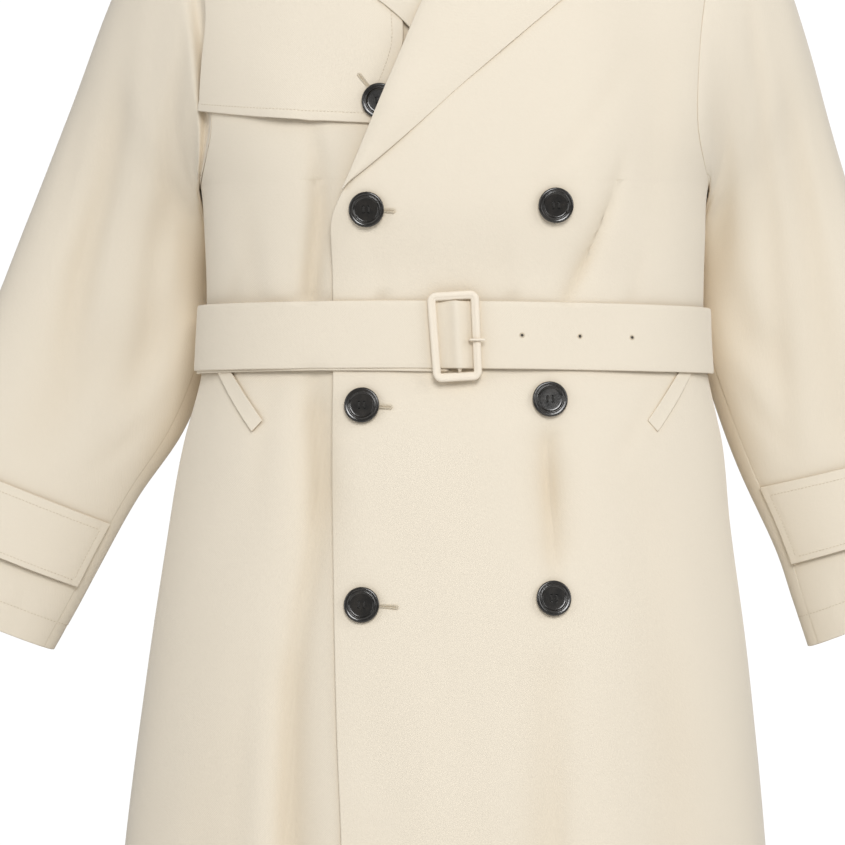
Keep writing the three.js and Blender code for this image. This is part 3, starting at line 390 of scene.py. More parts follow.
def on_skin(x, z, face, out):
    """Places on the front or back, moved out along the cloth's normal, and that normal."""
    x, z = np.broadcast_arrays(np.asarray(x, dtype=float), np.asarray(z, dtype=float))
    step = 0.4
    top = np.minimum(z + step, shoulder_height(x) - 0.05)
    across = skin(x + step, z, face) - skin(x - step, z, face)
    up = skin(x, top, face) - skin(x, z - step, face)
    normal = unit(np.cross(across, up)) * -face
    return skin(x, z, face) + normal * np.asarray(out)[..., None], normal


def on_body(angle, z, out):
    around = body_point(angle + 0.01, z) - body_point(angle - 0.01, z)
    up = body_point(angle, z + 2) - body_point(angle, z - 2)
    normal = unit(np.cross(around, up))
    return body_point(angle, z) + normal * np.asarray(out)[..., None]


def uneven(s, t):
    """Slight waviness that all of the cloth has, in millimetres."""
    return (
        0.35 * np.sin(s / 23 + 1.3 * np.sin(t / 61)) * np.sin(t / 47 + 0.8)
        + 0.22 * np.sin(s / 11 + t / 37 + 2.1)
        + 0.3 * np.sin(t / 83 - s / 59)
    )


# Materials


def principled(name, colour, roughness):
    made = bpy.data.materials.new(name)
    made.use_nodes = True
    nodes, links = made.node_tree.nodes, made.node_tree.links
    shader = nodes["Principled BSDF"]
    shader.inputs["Base Color"].default_value = (*colour, 1)
    shader.inputs["Roughness"].default_value = roughness
    return made, nodes, links, shader


def cloth_material(name, light, dark, twill=1.0):
    """Fine twill: diagonal ribs and slubs in the bump, slight unevenness of colour, and painted shade in
    creases and gaps.
    """
    made, nodes, links, shader = principled(name, light, 0.82)
    shader.inputs["Sheen Weight"].default_value = 0.25
    shader.inputs["Sheen Roughness"].default_value = 0.5
    shader.inputs["Specular IOR Level"].default_value = 0.25
    place = nodes.new("ShaderNodeTexCoord")
    turn = nodes.new("ShaderNodeMapping")
    turn.inputs["Rotation"].default_value = (0, 0, math.radians(58))
    links.new(place.outputs["UV"], turn.inputs["Vector"])
    ribs = nodes.new("ShaderNodeTexWave")
    ribs.wave_type = "BANDS"
    ribs.inputs["Scale"].default_value = 260 / twill
    ribs.inputs["Distortion"].default_value = 1.2
    ribs.inputs["Detail"].default_value = 1
    links.new(turn.outputs["Vector"], ribs.inputs["Vector"])
    slub = nodes.new("ShaderNodeTexNoise")
    slub.inputs["Scale"].default_value = 420
    slub.inputs["Detail"].default_value = 3
    links.new(place.outputs["UV"], slub.inputs["Vector"])
    cloud = nodes.new("ShaderNodeTexNoise")
    cloud.inputs["Scale"].default_value = 9
    cloud.inputs["Detail"].default_value = 4
    links.new(place.outputs["Object"], cloud.inputs["Vector"])
    tone = nodes.new("ShaderNodeMix")
    tone.data_type = "RGBA"
    tone.inputs[6].default_value = (*light, 1)
    tone.inputs[7].default_value = (*dark, 1)
    both = nodes.new("ShaderNodeMath")
    both.operation = "MULTIPLY_ADD"
    links.new(slub.outputs["Fac"], both.inputs[0])
    both.inputs[1].default_value = 0.45
    scaled = nodes.new("ShaderNodeMath")
    scaled.operation = "MULTIPLY"
    scaled.inputs[1].default_value = 0.55
    links.new(cloud.outputs["Fac"], scaled.inputs[0])
    links.new(scaled.outputs[0], both.inputs[2])
    links.new(both.outputs[0], tone.inputs[0])
    # Painted shade: the colour is darkened and warmed towards deep tan in creases, by the crease attribute,
    # and in seams, gaps and under other parts, by ambient occlusion.
    crease = nodes.new("ShaderNodeAttribute")
    crease.attribute_name = "crease"
    near = nodes.new("ShaderNodeAmbientOcclusion")
    near.samples = 6
    near.inputs["Distance"].default_value = 0.045
    occluded_shade = nodes.new("ShaderNodeMath")
    occluded_shade.operation = "MULTIPLY_ADD"
    occluded_shade.inputs[1].default_value = -0.55
    occluded_shade.inputs[2].default_value = 0.55
    links.new(near.outputs["AO"], occluded_shade.inputs[0])
    painted_shade = nodes.new("ShaderNodeMath")
    painted_shade.operation = "ADD"
    painted_shade.use_clamp = True
    links.new(occluded_shade.outputs[0], painted_shade.inputs[0])
    links.new(crease.outputs["Fac"], painted_shade.inputs[1])
    shade_tint = nodes.new("ShaderNodeMix")
    shade_tint.data_type = "RGBA"
    shade_tint.inputs[7].default_value = (0.60, 0.465, 0.29, 1)
    links.new(painted_shade.outputs[0], shade_tint.inputs[0])
    links.new(tone.outputs[2], shade_tint.inputs[6])
    links.new(shade_tint.outputs[2], shader.inputs["Base Color"])
    fine = nodes.new("ShaderNodeBump")
    fine.inputs["Strength"].default_value = 0.22
    fine.inputs["Distance"].default_value = 0.0003
    links.new(ribs.outputs["Fac"], fine.inputs["Height"])
    coarse = nodes.new("ShaderNodeBump")
    coarse.inputs["Strength"].default_value = 0.25
    coarse.inputs["Distance"].default_value = 0.0006
    links.new(slub.outputs["Fac"], coarse.inputs["Height"])
    links.new(fine.outputs["Normal"], coarse.inputs["Normal"])
    links.new(coarse.outputs["Normal"], shader.inputs["Normal"])
    return made


def horn_material():
    """Polished dark horn, faintly streaked."""
    made, nodes, links, shader = principled("horn", (0.010, 0.009, 0.007), 0.24)
    shader.inputs["Specular IOR Level"].default_value = 0.85
    place = nodes.new("ShaderNodeTexCoord")
    streak = nodes.new("ShaderNodeTexNoise")
    streak.inputs["Scale"].default_value = 120
    streak.inputs["Detail"].default_value = 4
    stretch = nodes.new("ShaderNodeMapping")
    stretch.inputs["Scale"].default_value = (1, 0.15, 1)
    links.new(place.outputs["Object"], stretch.inputs["Vector"])
    links.new(stretch.outputs["Vector"], streak.inputs["Vector"])
    ramp = nodes.new("ShaderNodeValToRGB")
    ramp.color_ramp.elements[0].position = 0.35
    ramp.color_ramp.elements[0].color = (0.006, 0.005, 0.004, 1)
    ramp.color_ramp.elements[1].position = 0.75
    ramp.color_ramp.elements[1].color = (0.022, 0.018, 0.014, 1)
    links.new(streak.outputs["Fac"], ramp.inputs["Fac"])
    links.new(ramp.outputs["Color"], shader.inputs["Base Color"])
    rough = nodes.new("ShaderNodeMapRange")
    rough.inputs["To Min"].default_value = 0.13
    rough.inputs["To Max"].default_value = 0.26
    links.new(streak.outputs["Fac"], rough.inputs["Value"])
    links.new(rough.outputs["Result"], shader.inputs["Roughness"])
    return made


def thread_material(name, colour):
    made, nodes, links, shader = principled(name, colour, 0.7)
    shader.inputs["Sheen Weight"].default_value = 0.2
    place = nodes.new("ShaderNodeTexCoord")
    noise = nodes.new("ShaderNodeTexNoise")
    noise.inputs["Scale"].default_value = 900
    links.new(place.outputs["Object"], noise.inputs["Vector"])
    bump = nodes.new("ShaderNodeBump")
    bump.inputs["Strength"].default_value = 0.3
    bump.inputs["Distance"].default_value = 0.0002
    links.new(noise.outputs["Fac"], bump.inputs["Height"])
    links.new(bump.outputs["Normal"], shader.inputs["Normal"])
    return made


CLOTH = cloth_material("gabardine", (0.80, 0.728, 0.612), (0.765, 0.688, 0.567))
COVER = cloth_material("buckle_cloth", (0.86, 0.78, 0.665), (0.82, 0.735, 0.615), twill=1.2)
HORN = horn_material()
THREAD = thread_material("sewing_thread", (0.66, 0.58, 0.45))
# Painted shade for the slits of the buttonholes.
SEAM_SHADE = thread_material("painted_slit_shade", (0.52, 0.42, 0.29))
BUTTON_THREAD = thread_material("button_thread", (0.012, 0.010, 0.008))
EYELET_PAINTED_SHADE = thread_material("eyelet_shade", (0.05, 0.04, 0.03))


# Meshes


def add_mesh(name, points, faces, material, uv=None, crease=None):
    mesh = bpy.data.meshes.new(name)
    mesh.from_pydata((np.asarray(points) * MM).tolist(), [], faces)
    mesh.materials.append(material)
    mesh.shade_smooth()
    if uv is not None:
        layer = mesh.uv_layers.new(name="cloth")
        corner = np.empty(len(mesh.loops), dtype=np.int32)
        mesh.loops.foreach_get("vertex_index", corner)
        layer.data.foreach_set("uv", (np.asarray(uv)[corner] * MM).astype(np.float32).ravel())
    # The crease attribute is how much painted shade the cloth material mixes into the colour at each point.
    if crease is not None:
        shade = mesh.attributes.new("crease", "FLOAT", "POINT")
        shade.data.foreach_set("value", np.asarray(crease, dtype=np.float32))
    mesh.update()
    made = bpy.data.objects.new(name, mesh)
    bpy.context.scene.collection.objects.link(made)
    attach(made, "root")
    return made


def signed_volume(points, faces):
    total = 0.0
    quads = np.array([face for face in faces if len(face) == 4])
    a, b, c, d = (points[quads[:, i]] for i in range(4))
    total += np.einsum("ij,ij->i", a, np.cross(b, c)).sum()
    total += np.einsum("ij,ij->i", a, np.cross(c, d)).sum()
    return total


def running_length(points, axis):
    """Running length over a grid of points, down its columns (axis 0) or along its rows (axis 1)."""
    steps = np.cumsum(np.linalg.norm(np.diff(points, axis=axis), axis=2), axis=axis)
    return np.concatenate([np.zeros_like(np.take(steps, [0], axis=axis)), steps], axis=axis)


class Wall:
    """A cloth piece: a closed wall between an outer grid of points and the same grid moved in."""

    def __init__(
        self, name, grid_u, grid_v, surface, turn=1, lift=None, thick=WALL, upright=False, limits=None
    ):
        self.name, self.surface, self.turn = name, surface, turn
        self.u, self.v = grid_u, grid_v
        self.limits = limits or (grid_v.min(), grid_v.max())
        self.steps = ((grid_u.max() - grid_u.min()) / 4000, (self.limits[1] - self.limits[0]) / 4000)
        base = surface(grid_u, grid_v)
        self.normal = self.normals(grid_u, grid_v)
        if upright:
            self.normal[-1, :, 1] = 0
            self.normal[-1] = unit(self.normal[-1])
        self.across = running_length(base, 1)
        self.length = running_length(base, 0)
        out = np.zeros(grid_u.shape)
        if lift:
            out = lift(grid_u, grid_v, base, self.across, self.length)
        self.outer = base + self.normal * out[..., None]
        self.inner = self.outer - self.normal * thick
        self.thick = thick

    def normals(self, u, v):
        du, dv = self.steps
        across = self.surface(u + du, v) - self.surface(u - du, v)
        above = self.surface(u, np.minimum(v + dv, self.limits[1]))
        below = self.surface(u, np.maximum(v - dv, self.limits[0]))
        return unit(np.cross(across, above - below)) * self.turn

    def rim(self):
        """The border of the grid, in order, with the direction out of the piece at each point."""
        high, wide = self.outer.shape[:2]
        ids, away = [], []
        centre = lambda i, j: (min(max(i, 1), high - 2), min(max(j, 1), wide - 2))
        order = (
            [(0, j) for j in range(wide - 1)]
            + [(i, wide - 1) for i in range(high - 1)]
            + [(high - 1, j) for j in range(wide - 1, 0, -1)]
            + [(i, 0) for i in range(high - 1, 0, -1)]
        )
        for i, j in order:
            ids.append(i * wide + j)
            away.append(self.outer[i, j] - self.outer[centre(i, j)])
        return np.array(ids), unit(np.array(away))

    def build(self, material, replaces=None, crease=None):
        high, wide = self.outer.shape[:2]
        count = high * wide
        ids, away = self.rim()
        flat_outer, flat_inner = self.outer.reshape(-1, 3), self.inner.reshape(-1, 3)
        middle = (flat_outer[ids] + flat_inner[ids]) / 2 + away * self.thick * 0.3
        points = np.concatenate([flat_outer, flat_inner, middle])
        i, j = np.meshgrid(np.arange(high - 1), np.arange(wide - 1), indexing="ij")
        a = (i * wide + j).ravel()
        faces = np.stack([a, a + 1, a + wide + 1, a + wide], axis=1)
        inside = faces[:, ::-1] + count
        ring = np.arange(len(ids))
        after = np.roll(ring, -1)
        first = np.stack([ids[after], ids[ring], 2 * count + ring, 2 * count + after], axis=1)
        second = np.stack(
            [2 * count + after, 2 * count + ring, count + ids[ring], count + ids[after]], axis=1
        )
        quads = np.concatenate([faces, inside, first, second])
        if signed_volume(points, quads) < 0:
            quads = quads[:, ::-1]
        uv = np.stack([self.across.ravel(), self.length.ravel()], axis=1)
        uv = np.concatenate([uv, uv, uv[ids]])
        # How much painted shade each point gets, for the crease attribute.
        if crease is not None:
            flat = np.clip(crease, 0, 1).ravel()
            crease = np.concatenate([flat, flat, flat[ids]])
        made = add_mesh(self.name, points, quads.tolist(), material, uv, crease=crease)
        if replaces:
            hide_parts(*replaces)
        return made


def spread(surface, v, starts, spacing, ends, low=0.0, high=1.0):
    """For each v, the u of columns that lie at set distances from both side edges and evenly between."""
    u = np.linspace(low, high, 161)
    points = surface(*np.meshgrid(u, v))
    far = np.cumsum(np.linalg.norm(np.diff(points, axis=1), axis=2), axis=1)
    far = np.concatenate([np.zeros((len(v), 1)), far], axis=1)
    count = max(int(round(np.median(far[:, -1]) / spacing)), 2)
    found = []
    for row in far:
        total = row[-1]
        scale = min(1, 0.45 * total / max(starts[-1], ends[-1], 1e-9))
        inner = np.linspace(starts[-1] * scale, total - ends[-1] * scale, count + 2)[1:-1]
        where = np.concatenate([np.array(starts) * scale, inner, total - np.array(ends[::-1]) * scale])
        found.append(np.interp(where, row, u))
    return np.array(found)


def groove(distance, at, deep=0.3, half=0.9):
    return -deep * np.exp(-(((distance - at) / half) ** 2))


def pucker(distance, at, length, deep=0.16, reach=7, wave=11.5):
    """Small waves that a row of stitches draws into the cloth beside it."""
    ripple = np.sin(2 * math.pi * length / wave + np.sin(length / 31))
    return deep * ripple * np.exp(-(((distance - at) / reach) ** 2))


STITCH_ROWS = []
SEAM_ROWS = []


def sew(points, normals, pitch=3.2, long=2.4, radius=0.26):
    """Keeps a row of stitches for the joined mesh that is made at the end."""
    step = np.linalg.norm(np.diff(points, axis=0), axis=1)
    far = np.concatenate([[0], np.cumsum(step)])
    if far[-1] < 2 * pitch:
        return
    at = np.arange(pitch / 2, far[-1] - pitch / 2, pitch)
    pick = lambda values, where: np.stack([np.interp(where, far, values[:, i]) for i in range(3)], axis=1)
    centre = pick(points, at)
    tangent = unit(pick(points, np.minimum(at + 1, far[-1])) - pick(points, np.maximum(at - 1, 0)))
    STITCH_ROWS.append((centre, tangent, unit(pick(normals, at)), long, radius))


def sew_column(piece, j, low=0, high=None):
    sew(piece.outer[low:high, j], piece.normal[low:high, j])


def sew_row(piece, i, low=0, high=None):
    sew(piece.outer[i, low:high], piece.normal[i, low:high])


def build_stitches(name, rows, material):
    points, faces, base = [], [], 0
    ring = [(1, 0), (0, 1), (-1, 0), (0, -1)]
    for centre, tangent, normal, long, radius in rows:
        side = np.cross(normal, tangent)
        seat = centre + normal * radius * 0.35
        stack = [seat - tangent * long / 2 - normal * radius * 0.5]
        for end in (-0.3, 0.3):
            for s, n in ring:
                stack.append(seat + tangent * long * end + side * radius * s + normal * radius * n)
        stack.append(seat + tangent * long / 2 - normal * radius * 0.5)
        block = np.stack(stack, axis=1)
        points.append(block.reshape(-1, 3))
        for k in range(len(centre)):
            o = base + 10 * k
            for q in range(4):
                r = (q + 1) % 4
                faces.append((o, o + 1 + r, o + 1 + q))
                faces.append((o + 1 + q, o + 1 + r, o + 5 + r, o + 5 + q))
                faces.append((o + 9, o + 5 + q, o + 5 + r))
        base += 10 * len(centre)
    return add_mesh(name, np.concatenate(points), faces, material)


# Body panels


def armhole_xz(side, face, at):
    base = lerp(221, 222, at) if side > 0 else 222 + 0 * at
    x = side * base * along(ARMHOLE, "front" if face < 0 else "back", at)
    return x, along(ARMHOLE, "z", at)


def front_surface(side):
    def edge_angle(z):
        return angle_at(side * along(FRONT_EDGE, "x", z), z)

    levels = np.linspace(HEM, UNDERARM, 400)
    angles = edge_angle(levels)
    junction = angles[-1]
    side_angle = side * (math.pi / 2 - SEAM / 2 / 222)
    widest = body_point(side * math.pi / 2, UNDERARM)[0]
    edge_x = body_point(junction, UNDERARM)[0]

    def surface(u, row):
        u, row = np.broadcast_arrays(np.asarray(u, dtype=float), np.asarray(row, dtype=float))
        z = lerp(HEM, UNDERARM, np.clip(row, 0, 1))
        low = body_point(lerp(np.interp(z, levels, angles), side_angle, u), z)
        share = (body_point(lerp(junction, side_angle, u), UNDERARM)[..., 0] - edge_x) / (widest - edge_x)
        at = np.clip(row - 1, 0, 1)
        arm_x, arm_z = armhole_xz(side, -1, at)
        roll_z = lerp(UNDERARM, 0, at**0.93)
        x = lerp(side * along(FRONT_EDGE, "x", roll_z), arm_x, share)
        z = lerp(roll_z, arm_z, share)
        high = skin(x, np.minimum(z, shoulder_height(x) - EDGE), -1)
        high[..., 1] = np.minimum(high[..., 1], -SEAM / 2)
        return np.where((row <= 1)[..., None], low, high)

    return surface


def body_rows(spacing=6.5):
    """Rows of a body panel, with lines for the hem's stitches and closer rows at the shoulder."""
    hem = np.array([0, 0.8, 14, 29, 30, 31])
    low = np.linspace(36, UNDERARM - HEM, int((UNDERARM - HEM) / spacing))
    turn = [0.0003, 0.001, 0.0022, 0.004, 0.0065, 0.0095, 0.014, 0.02, 0.027]
    high = 1 + np.concatenate([turn, np.linspace(0.036, 0.9, 42), np.linspace(0.92, 1, 9)])
    return np.concatenate([np.concatenate([hem, low]) / (UNDERARM - HEM), high])


HEM_STITCH_ROW = 4
EDGE_START = [0, 0.8, 3, 6]
PLAIN_START = [0, 0.8, 4]


# Painted shade for the cloth's colour: darker and warmer where the body's folds are deeper.
def body_painted_shade(piece, face):
    return 0.017 * fold_depth(piece.outer[..., 0], piece.outer[..., 2], face)


def front(side):
    surface = front_surface(side)
    rows = body_rows()
    u = spread(surface, rows, EDGE_START, 5, PLAIN_START)
    v = np.repeat(rows[:, None], u.shape[1], axis=1)

    def lift(u, v, base, across, length):
        x, z = base[..., 0], base[..., 2]
        out = over_lift(x, z) if side > 0 else np.zeros(x.shape)
        calm = 1 - np.exp(-(across / 12) ** 2)
        below_seam = smooth(shoulder_height(x) - z, 0, 20)
        waves = uneven(across + 90 * side, z) * np.minimum(calm + 0.2, 1) * below_seam
        hem = groove(z - HEM, 30)
        return out + waves + hem

    name = "front_left" if side > 0 else "front_right"
    piece = Wall(name, u, v, surface, side, lift, upright=True, limits=(0, 2))
    # The colour gets painted shade in the folds.
    piece.build(CLOTH, [piece.name], body_painted_shade(piece, -1))
    sew_row(piece, HEM_STITCH_ROW, 1, -1)
    return piece


def back_top(x):
    curve = -21 * (1 - (x / NECK_HALF) ** 2)
    return np.where(np.abs(x) >= NECK_HALF, shoulder_height(x), curve)


def back_surface():
    gap = SEAM / 2 / 222
    start, end = math.pi / 2 + gap, 1.5 * math.pi - gap
    widest_left = body_point(start, UNDERARM)[0]
    widest_right = -body_point(end, UNDERARM)[0]

    def surface(u, row):
        u, row = np.broadcast_arrays(np.asarray(u, dtype=float), np.asarray(row, dtype=float))
        angle = lerp(start, end, u)
        z = lerp(HEM, UNDERARM, np.clip(row, 0, 1))
        low = body_point(angle, z)
        x0 = body_point(angle, UNDERARM)[..., 0]
        share = np.where(x0 > 0, x0 / widest_left, x0 / widest_right)
        at = np.clip(row - 1, 0, 1)
        left_x, arm_z = armhole_xz(1, 1, at)
        right_x, _ = armhole_xz(-1, 1, at)
        x = np.abs(share) * np.where(share >= 0, left_x, right_x)
        z = arm_z + (back_top(x) - SHOULDER_TIP) * at**1.6
        high = skin(x, np.minimum(z, shoulder_height(x) - EDGE), 1)
        high[..., 1] = np.maximum(high[..., 1], SEAM / 2)
        return np.where((row <= 1)[..., None], low, high)

    return surface


def back():
    surface = back_surface()
    rows = body_rows()
    u = spread(surface, rows, PLAIN_START, 7, PLAIN_START)
    v = np.repeat(rows[:, None], u.shape[1], axis=1)

    def lift(u, v, base, across, length):
        x, z = base[..., 0], base[..., 2]
        waves = uneven(across, z + 40) * smooth(np.minimum(shoulder_height(x), back_top(x)) - z, 0, 20)
        return waves * 1.3 + groove(z - HEM, 30)

    piece = Wall("back", u, v, surface, 1, lift, upright=True, limits=(0, 2))
    # The colour gets painted shade in the folds.
    piece.build(CLOTH, ["back"], body_painted_shade(piece, 1))
    sew_row(piece, HEM_STITCH_ROW)
    return piece


# Sleeves


def sleeve_crease(side, degrees, k):
    folds = SLEEVE_FOLDS + SLEEVE_CREASES + (LEFT_SLEEVE_CREASES if side > 0 else RIGHT_SLEEVE_CREASES)
    return sum(trough(width, rows, k, (degrees + 360) % 360) for width, rows in folds)


def sleeve_point(side, degrees, k):
    table = SLEEVE_LEFT if side > 0 else SLEEVE_RIGHT
    degrees, k = np.broadcast_arrays(np.asarray(degrees, dtype=float), np.asarray(k, dtype=float))
    out_x, out_z, in_x, in_z = (along(table, column, k) for column in ("outX", "outZ", "inX", "inZ"))
    half = np.hypot(out_x - in_x, out_z - in_z) / 2
    angle = np.radians(degrees)

    def soften(value):
        return np.sign(value) * np.abs(value) ** (2 / SLEEVE_ROUND)

    crease = sleeve_crease(side, degrees, k)
    share = soften(np.cos(angle)) * (1 - crease / half / 2)
    deep = (along(table, "half", k) - crease) * soften(np.sin(angle))
    valley = 0
    if side < 0:
        aside = (degrees - VALLEY["middle"]) / VALLEY["half"]
        along_it = np.sin(math.pi * np.clip(k / VALLEY["rings"], 0, 1)) ** 2
        valley = VALLEY["depth"] * along_it * np.exp(-(aside**2))
    own = np.stack(
        [
            side * ((out_x + in_x) / 2 + (out_x - in_x) / 2 * share),
            along(table, "mid", k) - deep,
            (out_z + in_z) / 2 + (out_z - in_z) / 2 * share,
        ],
        axis=-1,
    )
    ease = smooth(k, 0, ARMHOLE_EASE)
    at = (1 + np.cos(angle)) / 2
    seams = []
    for face in (-1, 1):
        arm_x, arm_z = armhole_xz(side, face, at)
        seams.append(skin(arm_x, np.minimum(arm_z, shoulder_height(arm_x) - EDGE), face))
    seam = np.where((np.sin(angle) >= 0)[..., None], seams[0], seams[1])
    seam[..., 0] += side * (SEAM + 0.2 + 1.2 * k)
    point = lerp(seam, own, (ease**0.75)[..., None])
    point[..., 1] += valley
    return point


def ring_above(side, distance):
    k = np.linspace(SLEEVE_RINGS, SLEEVE_RINGS - 5, 1200)
    points = sleeve_point(side, 0, k)
    far = np.concatenate([[0], np.cumsum(np.linalg.norm(np.diff(points, axis=0), axis=1))])
    return float(np.interp(distance, far, k))


def sleeve_panel(side, part):
    gap = 0.05
    if part == "top":
        low, high, middle, tuck = BACK_SEAM - 360 + gap, FRONT_SEAM - gap, 0, 0.002
    else:
        low, high, middle, tuck = FRONT_SEAM + gap, BACK_SEAM - gap, 180, 0.01

    def surface(degrees, k):
        return sleeve_point(side, lerp(degrees, middle, tuck * np.exp(-np.asarray(k) / 1.4)), k)

    hem_lines = [ring_above(side, d) for d in (25, 24, 23, 12, 0.8, 0)]
    rows = np.concatenate([np.linspace(0, 3, 32)[:-1], np.linspace(3, hem_lines[0] - 0.1, 78), hem_lines])
    u = spread(surface, rows, PLAIN_START, 6, PLAIN_START, low, high)
    v = np.repeat(rows[:, None], u.shape[1], axis=1)

    def lift(u, v, base, across, length):
        left = length[-1:] - length
        near_seam = np.minimum(across, across[:, -1:] - across)
        waves = uneven(across * 1.1 + 30 * side, length) * smooth(length, 0, 30)
        ease = 0.5 * np.exp(-(((length - 12) / 9) ** 2)) * np.sin(across / 5.5 + 0.6 * np.sin(across / 17))
        return waves + ease * 0.5 + groove(left, 24) + groove(near_seam, 0, 0.3, 1.6)

    name = f"sleeve_{'left' if side > 0 else 'right'}_{part}"
    piece = Wall(name, u, v, surface, side, lift, limits=(0, SLEEVE_RINGS))
    # The colour gets painted shade in the sleeve's creases, by their depth.
    piece.build(CLOTH, [name], 0.016 * sleeve_crease(side, u, v))
    sew_row(piece, len(rows) - 5, 1, -1)
    return piece


def cuff_strap(side):
    low = ring_above(side, CUFF_STRAP["from_hem"])
    high = ring_above(side, CUFF_STRAP["from_hem"] + CUFF_STRAP["wide"])
    start, end = BACK_SEAM - 360 + 2, FRONT_SEAM - 2
    wide = CUFF_STRAP["wide"]
    inner_lines = [12, 20, 31, 42, 50]
    upper_lines = [wide - 7.2, wide - 6.2, wide - 5.2, wide - 0.7, wide]
    lines = np.array([0, 0.7, 5.2, 6.2, 7.2, *inner_lines, *upper_lines])
    rows = lerp(high, low, lines / wide)

    def surface(degrees, k):
        return sleeve_point(side, degrees, k)

    u = spread(surface, rows, [0, 0.7, 5.2, 6.2, 7.2], 6, [0, 0.7, 5.2, 6.2, 7.2], start, end)
    v = np.repeat(rows[:, None], u.shape[1], axis=1)

    def lift(u, v, base, across, length):
        round_share = np.clip((u - start) / (end - start), 0, 1)
        stand = CUFF_STRAP["lift"] * np.sin(math.pi * round_share)
        lower = 1.6 * smooth(length, 0.4 * wide, wide)
        ends = np.minimum(across, across[:, -1:] - across)
        return (
            PLY + 0.5 + stand + lower + 0.5 * np.sin(across / 37 + 1) * smooth(ends, 0, 30)
            + groove(length, 6.2) + groove(wide - length, 6.2) + groove(ends, 6.2)
        )

    name = f"cuff_strap_{'left' if side > 0 else 'right'}"
    piece = Wall(name, u, v, surface, side, lift)
    piece.build(CLOTH, [name])
    sew_row(piece, 3, 3, -3)
    sew_row(piece, len(rows) - 4, 3, -3)
    sew_column(piece, 3, 3, -3)
    sew_column(piece, u.shape[1] - 4, 3, -3)
    return piece


# Lapels, flap and collar


def lapel_xz(side, share, t):
    roll_z = along(LAPEL, "rollZ", t)
    roll_x = along(FRONT_EDGE, "x", roll_z)
    full = 1 if side > 0 else lerp(RIGHT_LAPEL_SHARE, 1, smooth(t, 0.72, 1))
    x = roll_x + (along(LAPEL, "outX", t) - roll_x) * share * full
    z = roll_z + (along(LAPEL, "outZ", t) - roll_z) * share * full
    return side * x, z


def lapel(side):
    """A lapel turned back on its front. Before its roll line it bends round to meet the front's own edge."""
    rows = np.concatenate([[0, 0.004], np.linspace(0.02, 0.96, 60), [0.975, 0.99, 0.996, 1]])

    def surface(share, t):
        flat_share = np.maximum(share, 0)
        x, z = lapel_xz(side, flat_share, t)
        under = over_lift(x, z) if side > 0 else 0 * x + PLY + 0.8
        width = np.abs(along(LAPEL, "outX", t) - along(FRONT_EDGE, "x", along(LAPEL, "rollZ", t)))
        swell = 4.6 * np.minimum(width / 90, 1) * np.sin(math.pi * flat_share**0.72)
        stand = lerp(3.4, 1.85, flat_share) + swell
        point, normal = on_skin(x, z, -1, under + stand)
        bend = np.clip(-share, 0, 1) * math.pi
        radius = (stand / 2)[..., None]
        away = np.stack([-side * np.ones(x.shape), np.zeros(x.shape), np.zeros(x.shape)], axis=-1)
        rolled = away * radius * np.sin(bend)[..., None] - normal * radius * (1 - np.cos(bend))[..., None]
        return point + rolled

    u_flat = spread(surface, rows, [0, 1.5, 4], 5, [0, 0.7, 4.2, 5.2, 6.2], 0, 1)
    bend = np.linspace(-1, 0, 9)[:-1]
    u = np.concatenate([np.repeat(bend[None], len(rows), axis=0), u_flat], axis=1)
    v = np.repeat(rows[:, None], u.shape[1], axis=1)

    def lift(u, v, base, across, length):
        return 0.4 * np.sin(length / 43 + across / 29) * smooth(u, 0, 0.3)

    name = "lapel_left" if side > 0 else "lapel_right"
    piece = Wall(name, u, v, surface, side, lift, limits=(0, 1))
    piece.build(CLOTH, [name])
    return piece


def armhole_at_height(z):
    at = np.linspace(0, 1, 800)
    return np.interp(z, along(ARMHOLE, "z", at), at)


def storm_flap():
    def surface(share, t):
        share, t = np.broadcast_arrays(np.asarray(share, dtype=float), np.asarray(t, dtype=float))
        in_x, in_z = along(FLAP, "inX", t), along(FLAP, "inZ", t)
        out_z = along(FLAP, "outZ", t)
        arm_x, _ = armhole_xz(-1, -1, armhole_at_height(out_z))
        out_x = arm_x * along(FLAP, "outShare", t)
        bow = 1 - np.maximum(0, 1 - share) ** 1.25
        x = lerp(in_x, out_x, bow)
        sag = np.where(t < 0.2, -3 * np.sin(math.pi * share) * (1 - t / 0.2), 0)
        z = np.minimum(lerp(in_z, out_z, bow) + sag, shoulder_height(x) - 0.06)
        return on_skin(x, z, -1, flap_lift(x, z))[0]

    low = np.array([0, 0.7, 5, 8.2, 9.2, 10.2, 14]) / 235
    rows = np.concatenate([low, np.linspace(0.085, 0.94, 38), np.linspace(0.955, 1, 7)])
    u = spread(surface, rows, [0, 0.7, 8.2, 9.2, 10.2], 5.5, [0, 0.7, 3])
    v = np.repeat(rows[:, None], u.shape[1], axis=1)

    def lift(u, v, base, across, length):
        roll = 0.35 * np.exp(-(((length - 4.5) / 4) ** 2))
        bottom = groove(length, 9.2, 0.4) + pucker(length, 9.2, across, 0.22) + roll
        return bottom + uneven(across, length + 15) * smooth(length, 0, 25)

    piece = Wall("storm_flap", u, v, surface, -1, lift, limits=(0, 1))
    piece.build(CLOTH, ["storm_flap"])
    sew_row(piece, 4, 3, -1)
    sew_column(piece, 3, 4, -8)
    return piece


def collar_edges(c):
    turned = np.abs(c)
    side = np.where(c < 0, -1, 1)
    value = lambda column: along(COLLAR, column, turned)
    fold = np.stack([side * value("foldX"), value("foldY"), value("foldZ")], axis=-1)
    x = side * value("outX")
    z = np.minimum(value("outZ"), shoulder_height(x) - 0.4)
    behind = smooth(turned, 0.56, 0.72)[..., None]
    rear = on_skin(x, z, 1, 6 + 0 * x)[0]
    before = on_skin(x, z, -1, 8.5 + over_lift(x, z))[0]
    return fold, lerp(rear, before, behind)


